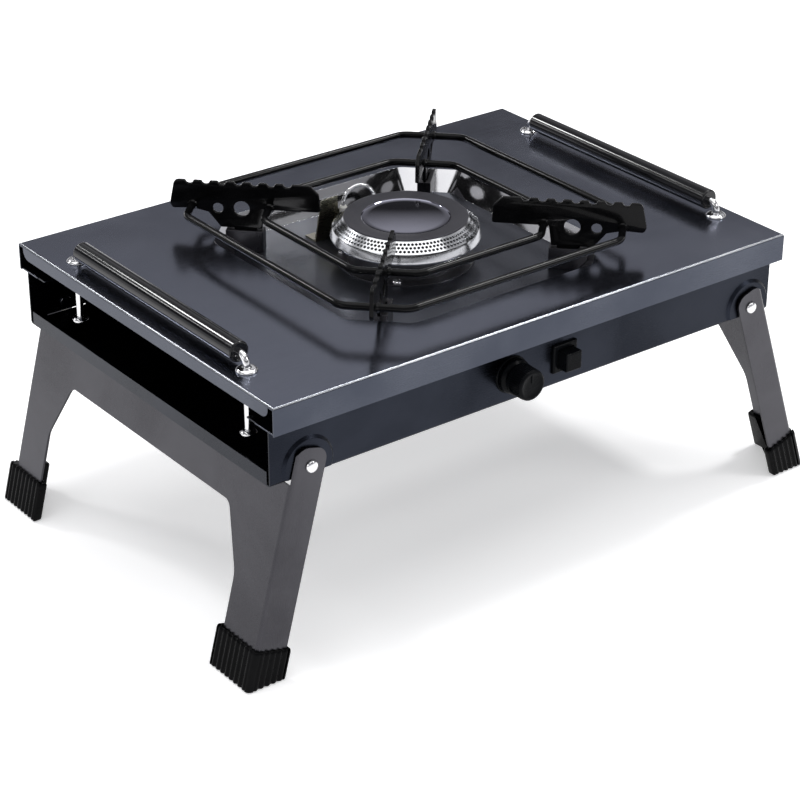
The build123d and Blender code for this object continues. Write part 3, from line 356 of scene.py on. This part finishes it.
def smooth(mesh, degrees):
    """Smooth shading, with edges sharper than the angle kept crisp."""
    mesh.polygons.foreach_set("use_smooth", [True] * len(mesh.polygons))
    mesh.set_sharp_from_angle(angle=radians(degrees))


def apply_modifiers(piece):
    evaluated = piece.evaluated_get(bpy.context.evaluated_depsgraph_get())
    done = bpy.data.meshes.new_from_object(evaluated)
    piece.modifiers.clear()
    piece.data = done


MERGE_DISTANCE = 2e-6
COPLANAR_ANGLE = 0.4
ROUNDED_ANGLE = 32.0
CRISP_ANGLE = 30.0


def softened(node, width, segments=2):
    """Copy of a CAD node with its sharp edges rounded, so that they catch the light."""
    work = bmesh.new()
    work.from_mesh(nodes[node].data)
    bmesh.ops.remove_doubles(work, verts=work.verts, dist=MERGE_DISTANCE)
    bmesh.ops.dissolve_limit(work, angle_limit=radians(COPLANAR_ANGLE), verts=work.verts,
                             edges=work.edges)
    mesh = bpy.data.meshes.new(f"{node}_soft")
    work.to_mesh(mesh)
    work.free()
    piece = bpy.data.objects.new(f"{node}_soft", mesh)
    bpy.context.scene.collection.objects.link(piece)
    mesh.materials.append(materials[slot_of[node]])
    bevel = piece.modifiers.new("round_edges", "BEVEL")
    bevel.width = width * MM
    bevel.segments = segments
    bevel.limit_method = "ANGLE"
    bevel.angle_limit = radians(ROUNDED_ANGLE)
    apply_modifiers(piece)
    smooth(piece.data, CRISP_ANGLE)
    flat = piece.modifiers.new("flat_faces", "WEIGHTED_NORMAL")
    flat.weight = 100
    flat.keep_sharp = True
    apply_modifiers(piece)
    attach(piece, body_of[node])
    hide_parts(node)
    return piece


def finish_cad_nodes():
    """Gives every CAD node its finished material."""
    for node, obj in nodes.items():
        for material_slot in obj.material_slots:
            material_slot.material = materials[slot_of[node]]


# ---- burner ----
PORT_ROWS = 3
PORT_COLUMNS = 108
PORT_PITCH = 2.2
PORT_RADIUS = 0.84
PORT_SIDES = 12
RING_WALL = 0.8


def make_flame_ring():
    """Sloping burner ring, one wall thick, with three staggered rows of gas ports."""
    low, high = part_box("burner_port_ring")
    centre = (low + high) / 2
    foot_radius = (high.x - low.x) / 2 / MM
    top_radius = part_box("burner_cap")[1].x / MM - centre.x / MM
    foot_z = low.z / MM
    run = foot_radius - top_radius
    rise = high.z / MM - foot_z
    slope = hypot(run, rise)
    margin = (slope - PORT_ROWS * PORT_PITCH) / 2
    steps = 2 * PORT_COLUMNS
    bm = bmesh.new()

    def surface(depth):
        """Gives a function that finds a point from its turn and its way up the slope."""
        nx, nz = rise / slope, run / slope

        def at(turn, way):
            share = way / slope
            radius = foot_radius - run * share - nx * depth
            z = foot_z + rise * share - nz * depth
            return Vector((centre.x + radius * MM * cos(turn),
                           centre.y + radius * MM * sin(turn), z * MM))
        return at

    levels = [0.0, *(margin + row * PORT_PITCH for row in range(PORT_ROWS + 1)), slope]
    shells = []
    for depth in (0.0, RING_WALL):
        at = surface(depth)
        rings = [[bm.verts.new(at(2 * pi * i / steps, way)) for i in range(steps)] for way in levels]
        for row in (0, PORT_ROWS + 1):
            bridge(bm, rings[row], rings[row + 1])
        holes = []
        for row in range(PORT_ROWS):
            lower, upper = rings[row + 1], rings[row + 2]
            middle_way = margin + (row + 0.5) * PORT_PITCH
            radius = foot_radius - run * middle_way / slope
            for column in range(PORT_COLUMNS):
                first = 2 * column + (row % 2)
                a, b, c = first % steps, (first + 1) % steps, (first + 2) % steps
                turn = 2 * pi * (first + 1) / steps
                outline = [lower[b], lower[c], upper[c], upper[b], upper[a], lower[a]]
                hole = []
                for k in range(PORT_SIDES):
                    angle = -pi / 2 + 2 * pi * k / PORT_SIDES
                    hole.append(bm.verts.new(at(turn + PORT_RADIUS * cos(angle) / radius,
                                                middle_way + PORT_RADIUS * sin(angle))))
                for k, corner in enumerate(outline):
                    next_corner = outline[(k + 1) % len(outline)]
                    bm.faces.new((corner, next_corner, hole[(2 * k + 2) % PORT_SIDES],
                                  hole[2 * k + 1], hole[2 * k]))
                holes.append(hole)
        shells.append((rings, holes))
    (outer, outer_holes), (inner, inner_holes) = shells
    for edge in (0, -1):
        bridge(bm, outer[edge], inner[edge])
    for mouth, back in zip(outer_holes, inner_holes):
        bridge(bm, mouth, back)
    ring = new_piece("burner_flame_ring", bm, body_of["burner_port_ring"], "burner_steel",
                     "burner_port_ring", smooth_angle=35)


TURNED_STEPS = 128


def turn_profile(bm, centre, profile):
    """Closed body of revolution round a vertical axis, from (radius, height) points in millimetres."""
    steps = TURNED_STEPS
    rings = []
    for radius, z in profile:
        if radius == 0:
            rings.append([bm.verts.new((centre.x, centre.y, z * MM))] * steps)
            continue
        rings.append([bm.verts.new((centre.x + radius * MM * cos(2 * pi * i / steps),
                                    centre.y + radius * MM * sin(2 * pi * i / steps), z * MM))
                      for i in range(steps)])
    for first, second in zip(rings, rings[1:]):
        for i in range(steps):
            j = (i + 1) % steps
            corners = []
            for vertex in (first[i], first[j], second[j], second[i]):
                if vertex not in corners:
                    corners.append(vertex)
            bm.faces.new(corners)


def make_burner_rim():
    """Polished collar: a band that flares gently downwards and rolls under at its lower edge."""
    low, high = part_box("burner_rim")
    centre = (low + high) / 2
    outer = (high.x - low.x) / 2 / MM
    top = high.z / MM
    foot = low.z / MM
    profile = [(outer - 3.6, top), (outer - 1.9, top), (outer - 1.55, top - 0.15), (outer - 1.35, top - 0.6),
               (outer - 1.0, top - 1.7), (outer - 0.65, top - 2.9), (outer - 0.3, top - 4.1),
               (outer - 0.05, top - 5.0), (outer, top - 5.4), (outer - 0.2, foot + 0.2), (outer - 0.9, foot),
               (outer - 10.3, foot), (outer - 10.3, foot + 0.8), (outer - 1.4, foot + 0.8),
               (outer - 1.1, foot + 1.4), (outer - 2.3, top - 0.8), (outer - 3.6, top - 0.8),
               (outer - 3.6, top)]
    bm = bmesh.new()
    turn_profile(bm, centre, profile)
    bmesh.ops.remove_doubles(bm, verts=bm.verts, dist=1e-6)
    rim = new_piece("burner_collar", bm, body_of["burner_rim"], "burner_steel", "burner_rim",
                    smooth_angle=40)


CAP_DISC = 25.0


def make_burner_top():
    """Cap of the burner: a faintly funnelled, sooted band round a polished disc with a low dome."""
    low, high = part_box("burner_cap")
    centre = (low + high) / 2
    outer = (high.x - low.x) / 2 / MM
    top = high.z / MM
    bottom = low.z / MM
    profile = [(0, top - 0.58), (8.0, top - 0.64), (16.0, top - 0.83), (21.0, top - 0.99),
               (CAP_DISC - 1.0, top - 1.1), (CAP_DISC - 0.5, top - 1.05), (CAP_DISC + 0.1, top - 0.6),
               (CAP_DISC + 0.7, top - 0.42), (CAP_DISC + 5.0, top - 0.24), (outer - 1.0, top - 0.05),
               (outer - 0.5, top), (outer - 0.15, top - 0.12), (outer, top - 0.4), (outer, top - 0.8),
               (outer - 1.7, top - 0.8), (outer - 1.7, top - 1.6), (CAP_DISC + 1.0, top - 1.6),
               (CAP_DISC, bottom), (0, bottom)]
    bm = bmesh.new()
    turn_profile(bm, centre, profile)
    cap = new_piece("burner_top", bm, body_of["burner_cap"], "burner_cap_steel", "burner_cap",
                    smooth_angle=30)
    cap.data.materials.append(materials["burner_band_steel"])
    for face in cap.data.polygons:
        radius = hypot(face.center.x - centre.x, face.center.y - centre.y)
        face.material_index = int(radius > (CAP_DISC + 0.2) * MM)


# ---- rubber shoes ----
RIB_PITCH = 3.9
RIB_DEPTH = 0.9
RIB_POINTS = 8
SHEET_LEG = 1.2
SHOE_SKIN = 2.1
SHOE_END_SKIN = {"front": 2.1, "back": 5.8}
SHOE_PANEL_OUT = 12.7
SHOE_FLANGE_LENGTH = 23.4
SHOE_TOP = -102.5
SHOE_CORNER = 3.4
SHOE_END_ROUND = 1.4
SHOE_RIM = ((1.15, 0.0), (0.75, 0.08), (0.35, 0.35), (0.08, 0.9), (0.0, 1.8))  # inset, drop
SHOE_RIM_SCALLOP = 0.9
SHOE_RIM_LIP = 0.25
SHOE_SOLE = ((0.0, 1.2), (0.12, 0.5), (0.5, 0.1), (0.9, 0.0))  # inset, height over the floor
LEG_TILT = {"left": radians(14.6), "right": radians(18.6)}


def wavy_edge(start, end, outward, ribs):
    """Points from start to end, with rounded ribs that stand out from their grooves."""
    points = []
    total = ribs * RIB_POINTS
    for i in range(total):
        share = (i + 0.5) / total
        phase = (i % RIB_POINTS + 0.5) / RIB_POINTS
        inset = RIB_DEPTH * abs(cos(pi * phase)) ** 3
        points.append(start.lerp(end, share) - outward * inset)
    return points


def inset_outline(points, amount):
    """Moves a closed outline inwards by an amount, along its own normals."""
    count = len(points)
    area = sum(points[i].x * points[(i + 1) % count].y - points[(i + 1) % count].x * points[i].y
               for i in range(count))
    turn = 1 if area > 0 else -1
    moved = []
    for i in range(count):
        along = points[(i + 1) % count] - points[i - 1]
        along.normalize()
        moved.append(points[i] + Vector((-along.y, along.x)) * turn * amount)
    return moved


def arc_corner(x, y, dx, dy, radius, first, last, count):
    """Arc of a rounded corner, centred dx, dy radii inside the sharp one."""
    centre = Vector((x + dx * radius, y + dy * radius))
    return [centre + Vector((cos(first + (last - first) * i / (count - 1)),
                             sin(first + (last - first) * i / (count - 1)))) * radius
            for i in range(count)]


def leg_pivot(side_name):
    return next(Vector(joint["pos_m"]) for joint in frame["joints"]
                if joint["name"] == f"{side_name}_leg_fold")


def make_shoe(side_name, end_name):
    """Ribbed rubber shoe: an angle section with upright ribs, a rounded rim and a level sole."""
    node = f"foot_{end_name}_{side_name}"
    low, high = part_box(node)
    outward = -1 if end_name == "front" else 1
    y_out, y_end = (low.y, high.y) if outward < 0 else (high.y, low.y)
    y_out, y_end = y_out / MM, y_end / MM
    x_out = SHOE_PANEL_OUT
    x_in = x_out - SHEET_LEG - 2 * SHOE_SKIN
    x_end = x_out - SHOE_FLANGE_LENGTH
    y_in = y_out - outward * (SHOE_END_SKIN[end_name] + SHEET_LEG + SHOE_SKIN)

    o = outward
    small = SHOE_END_ROUND
    flange_run = SHOE_FLANGE_LENGTH - SHOE_CORNER - small
    panel_run = abs(y_out - y_end) - SHOE_CORNER - small
    outline = arc_corner(x_end, y_out, 1, -o, small, pi, pi - o * pi / 2, 4)
    outline += wavy_edge(Vector((x_end + small, y_out)), Vector((x_out - SHOE_CORNER, y_out)),
                         Vector((0, o)), round(flange_run / RIB_PITCH))
    outline += arc_corner(x_out, y_out, -1, -o, SHOE_CORNER, o * pi / 2, 0, 7)
    outline += wavy_edge(Vector((x_out, y_out - o * SHOE_CORNER)), Vector((x_out, y_end + o * small)),
                         Vector((1, 0)), round(panel_run / RIB_PITCH))
    outline += arc_corner(x_out, y_end, -1, o, small, 0, -o * pi / 2, 4)
    outline += arc_corner(x_in, y_end, 1, o, small, -o * pi / 2, -o * pi, 4)
    outline += [Vector((x_in, y_end + (y_in - y_end) * share)) for share in (0.35, 0.7)]
    outline += [Vector((x_in - step, y_in)) for step in (0, 6, 12)]
    outline += arc_corner(x_end, y_in, 1, o, small, -o * pi / 2, -o * pi, 4)

    pivot = leg_pivot(side_name)
    side = -1 if side_name == "left" else 1
    tilt = LEG_TILT[side_name]

    def place(point, z):
        return Vector((pivot.x + side * (point.x * cos(tilt) - z * sin(tilt)) * MM, point.y * MM,
                       pivot.z + (point.x * sin(tilt) + z * cos(tilt)) * MM))

    def floor_z(point, lift):
        return ((lift * MM - pivot.z) / MM - point.x * sin(tilt)) / cos(tilt)

    def rib_drop(point):
        """How deep in a groove a point of the outer face lies, from 0 to 1."""
        if point.y * o < y_out * o - RIB_DEPTH - 0.01 and point.x < x_out - RIB_DEPTH - 0.01:
            return 0.0
        near = min(abs(x_out - point.x), abs(y_out - point.y))
        return min(near / RIB_DEPTH, 1.0)

    bm = bmesh.new()
    rings = []
    for inset, drop in SHOE_RIM:
        moved = inset_outline(outline, inset)
        ring = []
        for original, point in zip(outline, moved):
            scallop = SHOE_RIM_SCALLOP * rib_drop(original) if inset < 1.0 else SHOE_RIM_LIP
            ring.append(bm.verts.new(place(point, SHOE_TOP - drop - scallop)))
        rings.append(ring)
    rim_foot = SHOE_TOP - SHOE_RIM[-1][1] - SHOE_RIM_SCALLOP
    sole_lift = SHOE_SOLE[0][1]
    for share in (0.33, 0.66):
        rings.append([bm.verts.new(place(p, rim_foot + (floor_z(p, sole_lift) - rim_foot) * share))
                      for p in outline])
    for inset, lift in SHOE_SOLE:
        moved = inset_outline(outline, inset)
        rings.append([bm.verts.new(place(p, floor_z(p, lift))) for p in moved])
    for upper, lower in zip(rings, rings[1:]):
        bridge(bm, upper, lower)
    bm.faces.new(rings[0])
    bm.faces.new(rings[-1])
    shoe = new_piece(f"shoe_{end_name}_{side_name}", bm, body_of[node], "foot_rubber", node,
                     smooth_angle=50)


# ---- knob ----
KNURLS = 46
KNURL_POINTS = 6
KNURL_DEPTH = 0.34
KNOB_GRIP_INSET = 1.0
POINTER_HALF_WIDTH = 0.55
POINTER_TIP = 6.6
POINTER_TAIL = 1.8
POINTER_RINGS = ((1.0, 0.7), (1.0, 0.25), (0.75, 0.08), (0.4, 0.03))  # scale, depth from the front


def make_knob():
    """Turned knob: dished face, knurled grip and flared skirt."""
    low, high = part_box("control_knob")
    x, z = (low.x + high.x) / 2, (low.z + high.z) / 2
    length = (high.y - low.y) / MM
    skirt = (high.x - low.x) / 2 / MM
    grip = skirt - KNOB_GRIP_INSET
    profile = [  # radius, distance from the front, share of the knurl's depth
        (0.0, 0.55, 0), (3.0, 0.55, 0), (5.6, 0.5, 0), (6.3, 0.2, 0), (6.9, 0.02, 0), (7.5, 0.0, 0),
        (8.1, 0.2, 0), (8.55, 0.65, 0.2), (8.75, 1.2, 1), (grip - 0.1, 2.2, 1), (grip, length - 8.0, 1),
        (grip + 0.1, length - 6.9, 1), (grip + 0.25, length - 6.2, 0.2), (grip + 0.2, length - 5.6, 0),
        (grip - 0.9, length - 4.4, 0), (grip - 0.9, length - 3.9, 0), (skirt - 0.7, length - 3.1, 0),
        (skirt - 0.12, length - 2.4, 0), (skirt, length - 1.6, 0), (skirt - 0.1, length - 0.6, 0),
        (skirt - 0.5, length - 0.1, 0), (skirt - 1.2, length, 0), (0.0, length, 0)]
    steps = KNURLS * KNURL_POINTS
    bm = bmesh.new()
    rings = []
    for radius, back, knurl in profile:
        y = low.y + back * MM
        if radius == 0.0:
            rings.append([bm.verts.new((x, y, z))])
            continue
        ring = []
        for i in range(steps):
            turn = 2 * pi * i / steps
            phase = (i % KNURL_POINTS) / KNURL_POINTS
            r = (radius - knurl * KNURL_DEPTH * abs(2 * phase - 1) ** 1.3) * MM
            ring.append(bm.verts.new((x + r * cos(turn), y, z + r * sin(turn))))
        rings.append(ring)
    for first, second in zip(rings, rings[1:]):
        for i in range(steps):
            j = (i + 1) % steps
            if len(first) == 1:
                bm.faces.new((first[0], second[i], second[j]))
            elif len(second) == 1:
                bm.faces.new((first[i], second[0], first[j]))
            else:
                bm.faces.new((first[i], second[i], second[j], first[j]))
    knob = new_piece("turned_knob", bm, body_of["control_knob"], "black_plastic", "control_knob",
                     smooth_angle=40)


def make_pointer():
    """Plain rib that points up across the knob's dished face."""
    low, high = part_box("control_knob")
    x, z = (low.x + high.x) / 2, (low.z + high.z) / 2
    bm = bmesh.new()
    half = POINTER_HALF_WIDTH * MM
    outline = []
    for centre_r, first in ((POINTER_TIP, 0.0), (POINTER_TAIL, pi)):
        for i in range(7):
            turn = first + pi * i / 6
            outline.append((half * cos(turn), centre_r * MM + half * sin(turn)))
    rings = []
    for shrink, y in POINTER_RINGS:
        ring = []
        for px, pz in outline:
            base = POINTER_TIP * MM if pz > (POINTER_TIP + POINTER_TAIL) / 2 * MM else POINTER_TAIL * MM
            ring.append(bm.verts.new((x + px * shrink, low.y + y * MM, z + base + (pz - base) * shrink)))
        rings.append(ring)
    for first, second in zip(rings, rings[1:]):
        bridge(bm, first, second)
    bm.faces.new(rings[0])
    bm.faces.new(rings[-1])
    pointer = new_piece("knob_pointer", bm, body_of["control_knob"], "black_plastic", smooth_angle=40)


# ---- pan support ----
WIRE_RADIUS = 2.1
RING_CUT = 26.0
BLADE_SHEET = 2.2
BLADE_EDGE = 0.45
BLADE_TOP = 29.4
# corners of a blade: distance from the middle, height over the worktop, rounding
BLADE_OUTLINE = (
    (48.0, 13.8, 1.8), (80.0, 13.8, 0.6), (81.5, 2.0, 0.5), (84.8, 2.0, 0.3), (84.8, -2.8, 0.6),
    (96.8, -2.8, 0.6), (96.8, 2.0, 0.3), (105.0, 2.0, 1.2), (112.0, 10.8, 1.5), (121.0, 12.8, 1.6),
    (132.6, 12.2, 2.2), (134.0, 15.2, 2.2), (131.2, BLADE_TOP, 3.4))
BLADE_INNER_TOP = ((54.0, BLADE_TOP, 1.8), (49.0, 24.4, 1.8))
NOTCH_FIRST = 122.5
NOTCH_PITCH = 9.3
NOTCH_COUNT = 7
NOTCH_RADIUS = 2.5
NOTCH_RISE = 0.5
NOTCH_STEPS = (0, 2, 3, 4, 5, 6, 7, 8, 10)  # of ten steps round; the long end ones leave room to round
NOTCH_LIP = 1.2
BLADE_HOLES = ((93.0, 13.6, 4.6), (106.5, 13.4, 3.0))  # distance from the middle, height, radius
HOLE_SIDES = 40


def rounded_outline(corners):
    """Closed outline from (x, y, radius) corners, each one rounded with a short arc."""
    points = []
    count = len(corners)
    for i, (x, y, radius) in enumerate(corners):
        here = Vector((x, y))
        before = Vector(corners[i - 1][:2]) - here
        after = Vector(corners[(i + 1) % count][:2]) - here
        if radius == 0:
            points.append(here)
            continue
        half = before.angle(after) / 2
        cut = min(radius / max(abs(sin(half) / cos(half)), 0.01), before.length / 2, after.length / 2)
        first = here + before.normalized() * cut
        last = here + after.normalized() * cut
        for k in range(5):
            share = k / 4
            points.append(first.lerp(here, share).lerp(here.lerp(last, share), share))
    return points


def blade_corners():
    """Corners of a blade with its notches, from the outer end to the inner one along the top."""
    corners = list(BLADE_OUTLINE)
    half = (NOTCH_RADIUS ** 2 - NOTCH_RISE ** 2) ** 0.5
    start = atan2(-NOTCH_RISE, half)
    for step in range(NOTCH_COUNT):
        x = NOTCH_FIRST - step * NOTCH_PITCH
        for k in NOTCH_STEPS:
            turn = start + (-pi - 2 * start) * k / 10
            radius = NOTCH_LIP if k in (0, 10) else 0
            corners.append((x + NOTCH_RADIUS * cos(turn), BLADE_TOP + NOTCH_RISE + NOTCH_RADIUS * sin(turn),
                            radius))
    return corners + list(BLADE_INNER_TOP)


def add_loop(curve, points):
    spline = curve.splines.new("POLY")
    spline.points.add(len(points) - 1)
    for target, point in zip(spline.points, points):
        target.co = (point.x * MM, point.y * MM, 0, 1)
    spline.use_cyclic_u = True


def make_blades():
    """Notched blades with round edges, each on its own diagonal."""
    centre = middle("pan_support_outer_ring")
    outline = rounded_outline(blade_corners())
    for step in range(1, 5):
        node = f"pan_support_fin_{step}"
        away = middle(node) - centre
        radial = Vector((1 if away.x > 0 else -1, 1 if away.y > 0 else -1, 0)).normalized()
        up = Vector((0, 0, 1))
        curve = bpy.data.curves.new("blade_outline", "CURVE")
        curve.dimensions = "2D"
        curve.fill_mode = "BOTH"
        curve.extrude = (BLADE_SHEET / 2 - BLADE_EDGE) * MM
        curve.bevel_depth = BLADE_EDGE * MM
        curve.bevel_resolution = 2
        curve.offset = -BLADE_EDGE * MM
        add_loop(curve, outline)
        for x, z, radius in BLADE_HOLES:
            add_loop(curve, [Vector((x + radius * cos(2 * pi * k / HOLE_SIDES),
                                     z + radius * sin(2 * pi * k / HOLE_SIDES)))
                             for k in range(HOLE_SIDES)])
        flat = bpy.data.objects.new("blade_flat", curve)
        bpy.context.scene.collection.objects.link(flat)
        bm = bmesh.new()
        bm.from_mesh(bpy.data.meshes.new_from_object(
            flat.evaluated_get(bpy.context.evaluated_depsgraph_get())))
        bpy.data.objects.remove(flat)
        bmesh.ops.remove_doubles(bm, verts=bm.verts, dist=MERGE_DISTANCE)
        origin = Vector((centre.x, centre.y, TOP.z))
        axes = Matrix((radial, up, radial.cross(up))).transposed().to_4x4()
        bm.transform(Matrix.Translation(origin) @ axes)
        blade = new_piece(f"pan_support_blade_{step}", bm, body_of[node], "black_enamel", node,
                          smooth_angle=40)


WELD_SIDES = 14
WELD_LUMP = 0.10
WELD_RINGS = ((0.6, 2.9), (1.2, 3.05), (1.6, 2.75), (2.1, 2.35), (2.9, 2.05))  # off the blade, radius


def make_welds():
    """Weld beads where the blades cross the wires, on both faces of each blade."""
    centre = middle("pan_support_outer_ring")
    bm = bmesh.new()
    for ring_name in ("pan_support_outer_ring", "pan_support_inner_ring"):
        low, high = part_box(ring_name)
        half = (high.x - low.x) / 2 / MM - WIRE_RADIUS
        reach = (2 * half - RING_CUT) / 2 ** 0.5
        for step in range(4):
            turn = radians(45 + 90 * step)
            radial = Vector((cos(turn), sin(turn), 0))
            along = Vector((-sin(turn), cos(turn), 0))
            crossing = centre + radial * reach * MM
            for face in (-1, 1):
                rings = []
                for away, radius in WELD_RINGS:
                    ring = []
                    for i in range(WELD_SIDES):
                        angle = 2 * pi * i / WELD_SIDES
                        lump = 1 + WELD_LUMP * noise.noise(Vector((3 * cos(angle) + 7 * step, 3 * sin(angle),
                                                              away * 2 + 11 * face + half)))
                        offset = radial * cos(angle) + Vector((0, 0, 1)) * sin(angle)
                        ring.append(bm.verts.new(crossing + along * face * away * MM
                                                 + offset * radius * lump * MM))
                    rings.append(ring)
                for first, second in zip(rings, rings[1:]):
                    bridge(bm, first, second)
                bm.faces.new(rings[0])
                bm.faces.new(rings[-1])
    welds = new_piece("pan_support_welds", bm, body_of["pan_support_outer_ring"], "black_enamel",
                      smooth_angle=60)


# ---- worktop ----
RECESS_HALF = 90.0
WORKTOP_EDGE = 0.28
WALL, FLANGE, FOLD_EDGE_PAINTED_HIGHLIGHT, RECESS_FLOOR = 1, 2, 3, 4
WORKTOP_FINISHES = ("recess_wall_painted_reflection", "flange_painted_shade", "fold_edge_painted_highlight", "recess_floor_painted_shade")


def finish_worktop():
    """Dark satin sheet with glossier recess walls lightened as painted reflection, flanges, hems and recess floor
    darkened as painted shade, and fold edges lightened as painted highlight.
    """
    plate = softened("top_plate", WORKTOP_EDGE, 3)
    for extra in WORKTOP_FINISHES:
        plate.data.materials.append(materials[extra])
    centre = middle("burner_cap")
    for face in plate.data.polygons:
        across = face.center.x - centre.x
        deep = face.center.y - centre.y
        inside = max(abs(across), abs(deep)) < RECESS_HALF * MM
        up = face.normal.z
        depth = TOP.z - face.center.z
        if inside and depth > 0.05 * MM:
            # recess walls: lighter steel as painted reflection; recess floor: darker steel as painted shade
            face.material_index = WALL if 0.25 < up < 0.90 else RECESS_FLOOR
        elif up < 0.35:
            # flanges and hems: darker copy of the steel as painted shade
            face.material_index = FLANGE
        elif up < 0.93:
            # fold edges: lighter steel as painted highlight
            face.material_index = FOLD_EDGE_PAINTED_HIGHLIGHT


# ---- parts with rounded edges: width of the rounding in millimetres ----
SOFT_EDGES = {
    "housing": 0.25, "flange_screws": 0.15, "leg_rivets": 0.25, "leg_washers": 0.2,
    "handle_ferrules": 0.3,
    "pan_support_sockets": 0.4, "burner_cup": 0.25, "burner_screws": 0.12,
    "mixing_tube": 0.3, "valve_body": 0.3, "gas_jet": 0.15, "inlet_bracket": 0.2, "gas_inlet": 0.12,
    "knob_bezel": 0.15, "igniter_bezel": 0.25, "igniter_button": 0.3, "igniter_plunger": 0.2,
    "spark_unit": 0.3, "electrode_bracket": 0.2, "bracket_screw": 0.12, "left_leg_frame": 0.3,
    "right_leg_frame": 0.3, "left_handle_stops": 0.3, "right_handle_stops": 0.3,
}
# the burner cup takes the darker steel, painted shade under the collar
SPECIAL_FINISH = {"burner_cup": "burner_cup_painted_shade", "electrode_bracket": "bracket_steel"}


# ---- studio floor ----
FLOOR_RADII = (0.25, 0.6, 1.5, 4.0, 12.0)
FLOOR_SIDES = 96
FLOOR_DROP = 0.0004
FLOOR_GLOW = 0.42


def make_floor():
    """Plain pale floor, just under the shoes and faintly lit by itself."""
    bm = bmesh.new()
    rings = []
    for radius in FLOOR_RADII:
        rings.append([bm.verts.new((radius * cos(2 * pi * i / FLOOR_SIDES),
                                    radius * sin(2 * pi * i / FLOOR_SIDES), 0))
                      for i in range(FLOOR_SIDES)])
    bm.faces.new(rings[0])
    for first, second in zip(rings, rings[1:]):
        bridge(bm, first, second)
    mesh = bpy.data.meshes.new("studio_floor")
    bm.to_mesh(mesh)
    bm.free()
    floor = bpy.data.objects.new("studio_floor", mesh)
    floor.location.z = -FLOOR_DROP
    bpy.context.scene.collection.objects.link(floor)
    s = Shader("studio_floor")
    s.set(Metallic=0.0, Specular_IOR_Level=0.2)
    clouds = s.noise(1.2, detail=3.0)
    s.colour(s.mix(s.spread(clouds, 0.0, 1.0), (0.93, 0.93, 0.935), (0.955, 0.955, 0.955)))
    s.roughness(s.spread(clouds, 0.85, 0.95))
    s.set(Emission_Color=(1, 1, 1, 1), Emission_Strength=FLOOR_GLOW)
    mesh.materials.append(s.material)


add_camera()
add_world()
for soft_light in SOFT_LIGHTS:
    add_soft_light(*soft_light)
bpy.context.scene.view_settings.view_transform = "Standard"

materials = make_materials()
finish_cad_nodes()
finish_worktop()
for soft_node, edge_width in SOFT_EDGES.items():
    soft_piece = softened(soft_node, edge_width)
    if soft_node in SPECIAL_FINISH:
        soft_piece.data.materials[0] = materials[SPECIAL_FINISH[soft_node]]
make_flame_ring()
make_burner_top()
for side in ("left", "right"):
    for end in ("front", "back"):
        make_shoe(side, end)
make_knob()
make_pointer()
make_blades()
make_welds()
make_burner_rim()
make_floor()
